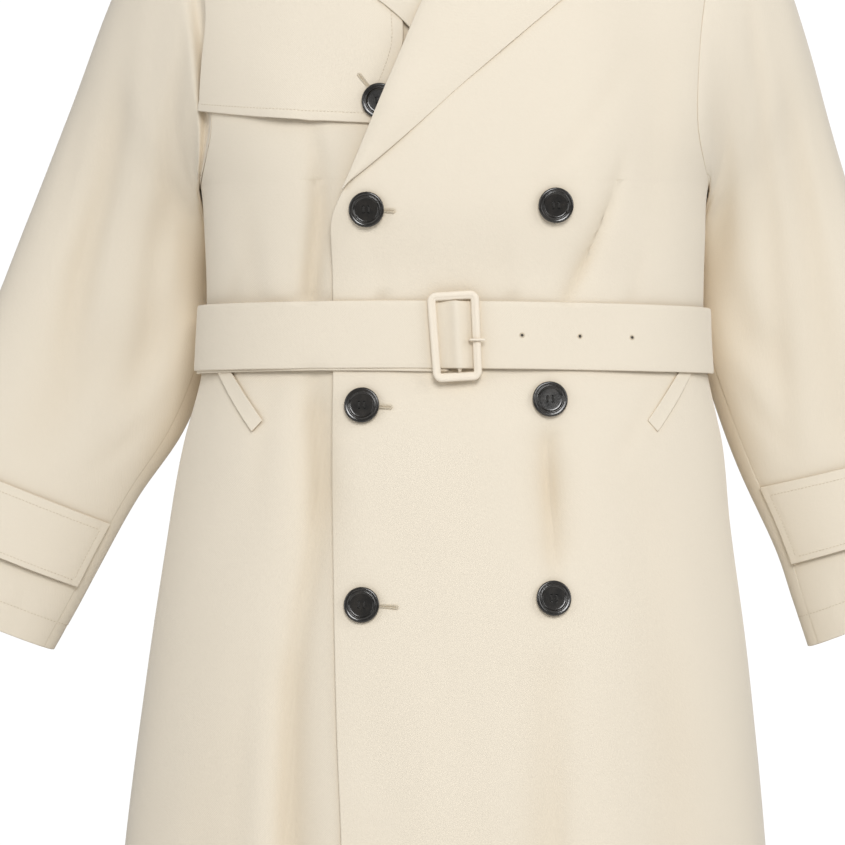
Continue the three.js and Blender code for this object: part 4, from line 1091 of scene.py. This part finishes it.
def collar_fall():
    def surface(c, w):
        c, w = np.broadcast_arrays(np.asarray(c, dtype=float), np.asarray(w, dtype=float))
        fold, outer = collar_edges(c)
        point = lerp(fold, outer, w[..., None])
        point[..., 2] += np.sin(math.pi * np.clip(w, 0, 1) ** 0.7) * 11
        return point

    lines = np.concatenate([[0, 0.01], np.linspace(0.03, 0.9, 24), [0.925, 0.935, 0.945, 0.992, 1]])
    u = spread(surface, lines, [0, 0.7, 5.2, 6.2, 7.2], 6, [0, 0.7, 5.2, 6.2, 7.2], -1, 1)
    v = np.repeat(lines[:, None], u.shape[1], axis=1)

    def lift(u, v, base, across, length):
        edge = length[-1:] - length
        ends = np.minimum(across, across[:, -1:] - across)
        waves = 0.5 * np.sin(across / 33 + length / 21) * smooth(edge, 0, 20)
        return waves + groove(edge, 6, 0.3, 1.4) + groove(ends, 6.2)

    piece = Wall("collar_fall", u, v, surface, 1, lift, limits=(0, 1))
    piece.build(CLOTH, ["collar_fall"])
    sew_row(piece, len(lines) - 4, 3, -3)
    sew_column(piece, 3, 4, -4)
    sew_column(piece, u.shape[1] - 4, 4, -4)
    return piece


def neck_seam(c):
    turned = np.abs(c)
    side = np.where(c < 0, -1, 1)
    x_rear = side * NECK_HALF * np.sin(np.clip(turned / 0.62, 0, 1) * math.pi / 2)
    rear = skin(x_rear, np.minimum(back_top(x_rear), shoulder_height(x_rear) - 0.1), 1)
    z = lerp(0, GORGE_Z, np.clip((turned - 0.62) / 0.38, 0, 1))
    x = along(FRONT_EDGE, "x", z)
    before = skin(side * x, np.minimum(z, shoulder_height(x) - 0.1), -1)
    return np.where((turned < 0.62)[..., None], rear, before)


def collar_stand():
    def surface(c, w):
        c, w = np.broadcast_arrays(np.asarray(c, dtype=float), np.asarray(w, dtype=float))
        seam = neck_seam(c) * np.array([0.955, 0.95, 1]) + np.array([0, 0, 1.2])
        fold = collar_edges(c)[0] * np.array([0.93, 0.93, 1]) + np.array([0, 0, -2])
        return lerp(seam, fold, w[..., None])

    lines = np.array([0, 0.03, 0.25, 0.5, 0.75, 0.97, 1])
    u = np.repeat(np.linspace(-0.97, 0.97, 80)[None], len(lines), axis=0)
    v = np.repeat(lines[:, None], u.shape[1], axis=1)
    piece = Wall("collar_stand", u, v, surface, 1, None, limits=(0, 1))
    piece.build(CLOTH, ["collar_stand"])
    return piece


def pocket_welt(side):
    def surface(u, v):
        angle = side * np.radians(lerp(WELT["low_angle"], WELT["high_angle"], v))
        z = lerp(WELT["low_z"], WELT["high_z"], v) + (u - 0.5) * WELT["wide"] * 0.9
        shift = side * (u - 0.5) * -(WELT["wide"] / 300)
        base = body_point(angle + shift, z)
        over = over_lift(base[..., 0], base[..., 2]) if side > 0 else 0
        return on_body(angle + shift, z, (0.1 if side > 0 else 1.6) + REST * 0.6 + over)

    rows = np.concatenate([[0, 0.008, 0.03], np.linspace(0.06, 0.97, 30), [0.992, 1]])
    lines = np.array([0, 0.05, 0.2, 0.5, 0.8, 0.95, 1])
    u = np.repeat(lines[None], len(rows), axis=0)
    v = np.repeat(rows[:, None], len(lines), axis=1)

    def lift(u, v, base, across, length):
        return 0.35 * np.exp(-(((u - 0.5) / 0.3) ** 2))

    name = f"pocket_welt_{'left' if side > 0 else 'right'}"
    piece = Wall(name, u, v, surface, side, lift, thick=1.2, limits=(0, 1))
    piece.build(CLOTH, [name])
    return piece


# Belt and buckle


def near_front(turned):
    return np.abs(((turned + 180) % 360) - 180)


def belt_lift(turned, x, z):
    past = smooth(turned, 285, 335)
    middle = BAR["x"] - (z - BUCKLE["z"]) * math.tan(math.radians(BUCKLE["lean"]))
    bump = past * BAR["raise"] * np.exp(-(((x - middle) / 7) ** 2))
    return BELT_LIFT + past * PLY + bump


BELT_FACE = float(belt_lift(np.array(360.0), np.array(40.0), BUCKLE["z"]))


def belt_surface(u, turned):
    u, turned = np.broadcast_arrays(np.asarray(u, dtype=float), np.asarray(turned, dtype=float))
    end = 360 + TONGUE_END
    angle = -np.radians(turned)
    slack = 2.4 * smooth(turned, 330, end) - 2.4 * (1 - smooth(turned, 0, 60))
    z = BELT_TOP - BELT_WIDTH * (1 - u) + slack - 2.6 * np.abs(np.sin(angle)) ** 3
    base = body_point(angle, z)
    middle = body_point(angle, BELT_TOP - BELT_WIDTH / 2)
    smoothed = np.stack([middle[..., 0], middle[..., 1], z], axis=-1)
    base = lerp(base, smoothed, 0.3)
    level = BELT_TOP - BELT_WIDTH / 2
    outward = on_body(angle, level, 1 + 0 * angle) - on_body(angle, level, 0 * angle)
    outward[..., 2] = 0
    outward = unit(outward)
    return base + outward * belt_lift(turned, base[..., 0], z)[..., None]


def belt():
    end = 360 + TONGUE_END
    coarse = np.arange(3.2, end, 1.5)
    fine = np.arange(345, 375, 0.4)
    rows = np.unique(np.concatenate([coarse[(coarse < 345) | (coarse >= 375)], fine, [end - 0.25, end]]))
    wide = BELT_WIDTH
    inner_lines = [10, 16, 22, 28, 34, 40, 46]
    upper_lines = [wide - 5.4, wide - 4.5, wide - 3.6, wide - 0.6, wide]
    lines = np.array([0, 0.6, 3.6, 4.5, 5.4, *inner_lines, *upper_lines])
    u = np.repeat((lines / wide)[None], len(rows), axis=0)
    v = np.repeat(rows[:, None], len(lines), axis=1)

    def lift(u, turned, base, across, length):
        near = np.minimum(u, 1 - u) * wide
        calm = 1 - np.exp(-((near_front(turned) / 9) ** 2))
        rolled = -0.5 * np.exp(-((near / 1.4) ** 2))
        return (0.5 * np.sin(length / 41) + 0.3 * np.sin(length / 17 + u * 3)) * calm + rolled

    piece = Wall("belt", u, v, belt_surface, 1, lift, limits=(3.2, end))
    piece.build(CLOTH, ["belt"])
    return piece


def rounded_loop(wide, high, corner, count=10):
    """Points of a rounded rectangle about the origin, with the direction out of it at each."""
    points, away = [], []
    for k, (sx, sy) in enumerate([(1, -1), (1, 1), (-1, 1), (-1, -1)]):
        centre = np.array([sx * (wide / 2 - corner), sy * (high / 2 - corner)])
        for t in np.linspace(0, math.pi / 2, count):
            turn = -math.pi / 2 + k * math.pi / 2 + t
            way = np.array([math.cos(turn), math.sin(turn)])
            points.append(centre + way * corner)
            away.append(way)
    return np.array(points), np.array(away)


def swept_ring(profile, loop, away):
    """A closed ring: profile is a closed list of (inset from the loop, height)."""
    points, faces = [], []
    for inset, height in profile:
        flat = loop - away * inset
        points.append(np.concatenate([flat, np.full((len(flat), 1), height)], axis=1))
    count, many = len(loop), len(profile)
    for p in range(many):
        q = (p + 1) % many
        for k in range(count):
            r = (k + 1) % count
            faces.append((p * count + k, p * count + r, q * count + r, q * count + k))
    return np.concatenate(points), faces


def buckle_pose(points):
    lean = math.radians(BUCKLE["lean"])
    x = points[:, 0] * math.cos(lean) - points[:, 1] * math.sin(lean)
    y = points[:, 0] * math.sin(lean) + points[:, 1] * math.cos(lean)
    seat = on_skin(BUCKLE["x"], BUCKLE["z"], -1, BELT_FACE + BUCKLE_SEAT)[0]
    return seat + np.stack([x, -points[:, 2], y], axis=1)


def buckle():
    thick = BUCKLE["thick"]
    loop, away = rounded_loop(BUCKLE["wide"], BUCKLE["high"], 8, 12)
    band = (BUCKLE["wide"] - BUCKLE["opening"]) / 2
    profile = [
        (0.5, 0),
        (0.05, 0.7),
        (0, 1.8),
        (0.25, 2.9),
        (0.9, 3.6),
        (1.9, 3.95),
        (3.1, thick),
        (4.1, 3.85),
        (4.7, 3.35),
        (5.2, 3.2),
        (6.2, 3.1),
        (band - 0.7, 2.7),
        (band - 0.15, 2.1),
        (band, 1.2),
        (band - 0.3, 0),
    ]
    points, faces = swept_ring(profile, loop, away)
    points[:, 0] *= lerp(0.93, 1, points[:, 1] / BUCKLE["high"] + 0.5)
    frame_points = buckle_pose(points)
    made = add_mesh("buckle", frame_points, faces, COVER, frame_points[:, [0, 2]])
    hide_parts("buckle")
    bar_y = np.linspace(-(BUCKLE["opening_high"] / 2 + 2), BUCKLE["opening_high"] / 2 + 2, 2)
    turns = np.linspace(0, 2 * math.pi, 25)[:-1]
    bar_x = BAR["x"] - BUCKLE["x"]
    bar_z = BAR["raise"] - WALL - 0.35 - BAR["radius"] - BUCKLE_SEAT
    tube = []
    for y in bar_y:
        for turn in turns:
            tube.append((bar_x + BAR["radius"] * math.cos(turn), y, bar_z + BAR["radius"] * math.sin(turn)))
    count = len(turns)
    tube_faces = [(k, (k + 1) % count, count + (k + 1) % count, count + k) for k in range(count)]
    tube_faces += [tuple(range(count - 1, -1, -1)), tuple(range(count, 2 * count))]
    bar_points = buckle_pose(np.array(tube))
    add_mesh("buckle_bar", bar_points, tube_faces, COVER, bar_points[:, [0, 2]])
    return made


def tube_along(points, radii, sides=10):
    """A tube with flat ends along a short path, as points and faces."""
    tangent = unit(np.gradient(points, axis=0))
    reference = np.array([0, 0, 1.0])
    side = unit(np.cross(tangent, reference))
    other = np.cross(side, tangent)
    rings = []
    for p, s, o, r in zip(points, side, other, radii):
        for k in range(sides):
            turn = 2 * math.pi * k / sides
            rings.append(p + (s * math.cos(turn) + o * math.sin(turn)) * r)
    faces = []
    for i in range(len(points) - 1):
        for k in range(sides):
            q = (k + 1) % sides
            faces.append((i * sides + k, i * sides + q, (i + 1) * sides + q, (i + 1) * sides + k))
    faces.append(tuple(range(sides - 1, -1, -1)))
    last = (len(points) - 1) * sides
    faces.append(tuple(range(last, last + sides)))
    return np.array(rings), faces


def smooth_path(knots, count):
    knots = np.array(knots, dtype=float)
    far = np.concatenate([[0], np.cumsum(np.linalg.norm(np.diff(knots, axis=0), axis=1))])
    table = {"key": "s", "s": far, "a": knots[:, 0], "b": knots[:, 1]}
    at = np.linspace(0, far[-1], count)
    return along(table, "a", at), along(table, "b", at)


def prong():
    top = BUCKLE_SEAT + BUCKLE["thick"] + 1.7
    knots = [
        (4.4, 0.2), (8, -2.9), (10.4, -2.9), (11.6, 0), (11.8, top - 1.6), (13.4, top), (18, top),
        (24.4, top - 0.4),
    ]
    x, out = smooth_path(knots, 60)
    points = on_skin(x, PRONG_Z + 0 * x, -1, BELT_FACE + out)[0]
    radii = np.full(len(points), 1.0)
    radii[-3:] = (0.95, 0.8, 0.45)
    tube, faces = tube_along(points, radii, 12)
    made = add_mesh("buckle_prong", tube, faces, COVER, tube[:, [0, 2]])
    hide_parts("buckle_prong")
    return made


# Buttons


def button_parts():
    """A four-hole button turned from horn: a broad rim, a bright bevel, and the wall of its dish. The dish's
    floor with its four holes is made by button_mesh.
    """
    outline = [
        (0, 0.9),
        (13.2, 0.9),
        (14.4, 1.2),
        (14.9, 1.9),
        (15, 2.6),
        (14.8, 3.3),
        (14.3, 3.8),
        (13.5, 4.0),
        (12.8, 3.85),
        (12.3, 3.6),
        (12.0, 3.65),
        (11.7, 4.0),
        (11.3, 4.2),
        (10.9, 4.1),
        (10.5, 3.6),
        (10.1, 3.05),
        (9.6, 2.88),
        (8.8, 2.85),
    ]
    sides = 72
    points, faces = [], []
    for r, h in outline[1:]:
        for k in range(sides):
            turn = 2 * math.pi * k / sides
            points.append((r * math.cos(turn), r * math.sin(turn), h))
    for i in range(len(outline) - 2):
        for k in range(sides):
            q = (k + 1) % sides
            faces.append((i * sides + k, i * sides + q, (i + 1) * sides + q, (i + 1) * sides + k))
    faces.append(tuple(range(sides - 1, -1, -1)))
    return points, faces, sides


HOLE_AT = 2.3
HOLE_RADIUS = 1.05


def button_mesh():
    """The button as one mesh. Its floor is a grid of rays between the four holes and the dish's edge."""
    points, faces, sides = button_parts()
    rim_start = len(points) - sides
    per = sides // 4
    holes = [(HOLE_AT, HOLE_AT), (-HOLE_AT, HOLE_AT), (-HOLE_AT, -HOLE_AT), (HOLE_AT, -HOLE_AT)]
    ring_count = 24
    centre_id = len(points)
    points.append((0, 0, 2.85))
    starts = []
    for hx, hy in holes:
        starts.append(len(points))
        for k in range(ring_count):
            turn = 2 * math.pi * k / ring_count
            points.append((hx + HOLE_RADIUS * math.cos(turn), hy + HOLE_RADIUS * math.sin(turn), 2.88))
    axis = []
    for k in range(4):
        turn = k * math.pi / 2
        axis.append(len(points))
        points.append((5 * math.cos(turn), 5 * math.sin(turn), 2.92))
    for h, start in enumerate(starts):
        # Each quarter of the floor runs from its two axes round its hole.
        a0, a1 = axis[h], axis[(h + 1) % 4]
        outer = [rim_start + (h * per + k) % sides for k in range(per + 1)]
        path = [centre_id, a0] + outer + [a1]
        angles = []
        hx, hy = holes[h]
        for vertex in path:
            px, py, _ = points[vertex]
            angles.append(math.atan2(py - hy, px - hx))
        unwrapped = np.unwrap(angles)
        closed = list(zip(path, unwrapped)) + [(path[0], unwrapped[0] + 2 * math.pi)]
        inner = lambda angle: start + int(round(angle / (2 * math.pi) * ring_count)) % ring_count
        for (pa, ta), (pb, tb) in zip(closed[:-1], closed[1:]):
            ia = int(round(ta / (2 * math.pi) * ring_count))
            ib = int(round(tb / (2 * math.pi) * ring_count))
            faces.append((pa, pb, inner(tb)))
            for step in range(ib, ia, -1):
                faces.append((pa, start + step % ring_count, start + (step - 1) % ring_count))
        bottom = len(points)
        for k in range(ring_count):
            turn = 2 * math.pi * k / ring_count
            points.append((hx + HOLE_RADIUS * math.cos(turn), hy + HOLE_RADIUS * math.sin(turn), 1.2))
        for k in range(ring_count):
            q = (k + 1) % ring_count
            faces.append((start + q, start + k, bottom + k, bottom + q))
        faces.append(tuple(range(bottom, bottom + ring_count)))
    return np.array(points, dtype=float), faces


def threads():
    """Two upright bundles of thread over the button's holes, each of three strands."""
    points, faces = [], []
    for x in (-HOLE_AT, HOLE_AT):
        for k in range(3):
            y = np.linspace(-HOLE_AT - 0.2, HOLE_AT + 0.2, 14)
            arch = 3.45 - 2.2 * (np.abs(y) / (HOLE_AT + 0.2)) ** 6 + 0.12 * (k == 1)
            strand = np.stack([np.full(14, x + (k - 1) * 0.55), y, arch], axis=1)
            tube, around = tube_along(strand, np.full(14, 0.34), 8)
            faces += [tuple(v + len(points) for v in face) for face in around]
            points += tube.tolist()
    return np.array(points), faces


def shank():
    """The thread between the button and the cloth."""
    points, faces = [], []
    sides = 20
    for h, r in ((-0.6, 3.6), (0.2, 3.0), (1.0, 3.4)):
        for k in range(sides):
            turn = 2 * math.pi * k / sides
            points.append((r * math.cos(turn), r * math.sin(turn), h))
    for i in range(2):
        for k in range(sides):
            q = (k + 1) % sides
            faces.append((i * sides + k, i * sides + q, (i + 1) * sides + q, (i + 1) * sides + k))
    faces.append(tuple(range(sides - 1, -1, -1)))
    faces.append(tuple(range(2 * sides, 3 * sides)))
    return np.array(points), faces


BUTTON_SHAPE = button_mesh()
THREAD_SHAPE = threads()
SHANK_SHAPE = shank()


def cloth_axes(normal):
    """The level and the rising direction along cloth that faces along normal."""
    across = unit(np.cross(np.array([0, 0, 1.0]), normal))
    return across, np.cross(normal, across)


def placed(points, x, z, out, spin):
    """Points of a thing that lies on the front, turned to face out of the cloth."""
    seat, normal = on_skin(x, z, -1, out)
    across, up = cloth_axes(normal)
    c, s = math.cos(spin), math.sin(spin)
    local_x = points[:, 0] * c - points[:, 1] * s
    local_y = points[:, 0] * s + points[:, 1] * c
    return seat + local_x[:, None] * across + local_y[:, None] * up + points[:, 2][:, None] * normal


def button(name, x, z, out, spin):
    points, faces = BUTTON_SHAPE
    made = add_mesh(name, placed(points, x, z, out, spin), faces, HORN)
    made.data.set_sharp_from_angle(angle=math.radians(50))
    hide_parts(name)
    for word, (part, part_faces) in (("thread", THREAD_SHAPE), ("shank", SHANK_SHAPE)):
        add_mesh(f"{name}_{word}", placed(part, x, z, out, spin), part_faces, BUTTON_THREAD)


def buttonhole(x, z, out, start, end, turn):
    """Dense stitches round a slit, from start to end millimetres from the button's middle."""
    seat, normal = on_skin(x, z, -1, out)
    across, up = cloth_axes(normal)
    c, s = math.cos(turn), math.sin(turn)
    way, aside = across * c + up * s, up * c - across * s
    centres, tangents = [], []
    for offset in (-1, 1):
        for d in np.arange(start, end, 0.62):
            centres.append(seat + way * d + aside * offset)
            tangents.append(aside)
    for k in range(7):
        bend = -math.pi / 2 + math.pi * k / 6
        radial = way * math.cos(bend) + aside * math.sin(bend)
        centres.append(seat + way * end + radial * 1.1)
        tangents.append(radial)
    normals = np.repeat(normal[None], len(centres), axis=0)
    STITCH_ROWS.append((np.array(centres), np.array(tangents), normals, 1.9, 0.3))
    # The slit is a dark ribbon of painted shade.
    slit = seat + way * np.linspace(start, end, 12)[:, None] + normal * 0.05
    SEAM_ROWS.append((slit, np.repeat(normal[None], 12, axis=0), 0.28))


def eyelet(x, z):
    """Stitches round a small hole through the belt's outer ply, and the ring of points that closes it, later
    filled with a dark disc of painted shade.
    """
    outer, rows = belt_piece.outer, belt_piece.v
    far = np.hypot(outer[..., 0] - x, outer[..., 2] - z) + 1000 * ((rows < 250) | (rows > 358))
    i, j = np.unravel_index(np.argmin(far), far.shape)
    seat, normal = outer[i, j], belt_piece.normal[i, j]
    across, up = cloth_axes(normal)
    turns = np.linspace(0, 2 * math.pi, 19)[:-1]
    radial = np.cos(turns)[:, None] * across + np.sin(turns)[:, None] * up
    STITCH_ROWS.append((seat + radial * 1.7, radial, np.repeat(normal[None], len(turns), axis=0), 1.4, 0.26))
    return list(seat + normal * 0.14 + radial * 1.25)


def build_ribbons(name, rows, material):
    """Thin flat dark lines on the cloth, painted shade where a seam or slit shows."""
    points, faces, base = [], [], 0
    for path, normals, half in rows:
        tangent = unit(np.gradient(path, axis=0))
        side = unit(np.cross(normals, tangent)) * half
        crown = path + normals * half * 0.5
        points.append(np.stack([path - side, crown, path + side], axis=1).reshape(-1, 3))
        for k in range(len(path) - 1):
            o = base + 3 * k
            faces.append((o, o + 1, o + 4, o + 3))
            faces.append((o + 1, o + 2, o + 5, o + 4))
        base += 3 * len(path)
    return add_mesh(name, np.concatenate(points), faces, material)


# Everything made in order

front_left, front_right = front(1), front(-1)
back_piece = back()
sleeves = [sleeve_panel(side, part) for side in (1, -1) for part in ("top", "under")]
straps = [cuff_strap(side) for side in (1, -1)]
lapels = [lapel(side) for side in (1, -1)]
flap = storm_flap()
fall, stand = collar_fall(), collar_stand()
welts = [pocket_welt(side) for side in (1, -1)]
belt_piece = belt()
buckle()
prong()

for order, (name, (x, z)) in enumerate(BUTTONS.items()):
    button(name, x, z, float(over_lift(x, z)) + BUTTON_SEAT, 0.06 * math.sin(order * 2.3))
button("button_flap", *FLAP_BUTTON, float(flap_lift(*FLAP_BUTTON)) + BUTTON_SEAT, 0.1)

for (x, z), end in zip(list(BUTTONS.values())[:3], (22.5, 24, 29)):
    buttonhole(x, z, float(over_lift(x + 15, z)), -4, end, -0.06)
buttonhole(*FLAP_BUTTON, float(flap_lift(*FLAP_BUTTON)), -2, 28, math.radians(128))

EYELETS = [(56.4, -450.5), (102.6, -450.1), (148, -450.5)]
# The eyelet holes are closed with dark discs of painted shade.
eyelet_points, eyelet_faces = [], []
for x, z in EYELETS:
    ring = eyelet(x, z)
    eyelet_faces.append(tuple(range(len(eyelet_points), len(eyelet_points) + len(ring))))
    eyelet_points += ring
add_mesh("eyelet_holes", np.array(eyelet_points), eyelet_faces, EYELET_PAINTED_SHADE)

build_stitches("stitches", STITCH_ROWS, THREAD)
build_ribbons("slits", SEAM_ROWS, SEAM_SHADE)


# Studio


def area_light(name, place, target, size, power, colour):
    lamp = bpy.data.lights.new(name, "AREA")
    lamp.energy = power
    lamp.shape = "RECTANGLE"
    lamp.size, lamp.size_y = size
    lamp.color = colour
    made = bpy.data.objects.new(name, lamp)
    made.location = place
    way = np.array(target) - np.array(place)
    yaw = math.atan2(-way[0], way[1])
    pitch = math.acos(-way[2] / np.linalg.norm(way))
    made.rotation_euler = (pitch, 0, yaw)
    bpy.context.scene.collection.objects.link(made)


# Each light: name, place, point that it faces, size, power in watts and colour.
for light in [
    ("key", (0.35, -3.8, 1.6), (0, 0, -0.5), (1.7, 1.7), 112, (1, 1, 0.995)),
    ("right", (3.2, -1.8, 0.8), (0, 0, -0.5), (1.6, 2.4), 36, (1, 1, 0.99)),
    ("left", (-3.2, -1.8, 0.3), (0, 0, -0.5), (1.6, 2.6), 26, (1, 1, 0.99)),
    ("rear", (0.6, 2.8, 1.4), (0, 0, -0.4), (2.6, 1.8), 34, (1, 1, 1)),
]:
    area_light(*light)

world = bpy.data.worlds.new("studio")
world.use_nodes = True
tree = world.node_tree
glow = tree.nodes["Background"]
glow.inputs["Color"].default_value = (1, 0.995, 0.985, 1)
glow.inputs["Strength"].default_value = 0.25
white = tree.nodes.new("ShaderNodeBackground")
white.inputs["Color"].default_value = (1, 1, 1, 1)
white.inputs["Strength"].default_value = 1.05
ray = tree.nodes.new("ShaderNodeLightPath")
blend = tree.nodes.new("ShaderNodeMixShader")
tree.links.new(ray.outputs["Is Camera Ray"], blend.inputs["Fac"])
tree.links.new(glow.outputs["Background"], blend.inputs[1])
tree.links.new(white.outputs["Background"], blend.inputs[2])
tree.links.new(blend.outputs["Shader"], tree.nodes["World Output"].inputs["Surface"])
bpy.context.scene.world = world

floor_mesh = bpy.data.meshes.new("floor")
FLOOR_RADIUS, FLOOR_HEIGHT, FLOOR_SIDES = 2.6, -1.42, 64
turns = np.linspace(0, 2 * math.pi, FLOOR_SIDES + 1)[:-1]
floor_points = [(FLOOR_RADIUS * math.cos(a), FLOOR_RADIUS * math.sin(a), FLOOR_HEIGHT) for a in turns]
floor_mesh.from_pydata(floor_points, [], [tuple(range(FLOOR_SIDES))])
floor = bpy.data.objects.new("floor", floor_mesh)
floor_material = principled("floor", (0.86, 0.85, 0.83), 0.9)[0]
floor_mesh.materials.append(floor_material)
bpy.context.scene.collection.objects.link(floor)

camera_data = bpy.data.cameras.new("camera")
SENSOR = 36
VIEW_PIXELS = 3423
PHOTO_PIXELS = 845
camera_data.sensor_width = SENSOR
camera_data.lens = SENSOR * VIEW_PIXELS / PHOTO_PIXELS
camera_data.clip_end = 50
camera = bpy.data.objects.new("camera", camera_data)
camera.location = (-0.028, -3.0, -0.523)
camera.rotation_euler = (math.pi / 2, 0, 0)
bpy.context.scene.collection.objects.link(camera)
bpy.context.scene.camera = camera
bpy.context.scene.view_settings.view_transform = "Standard"
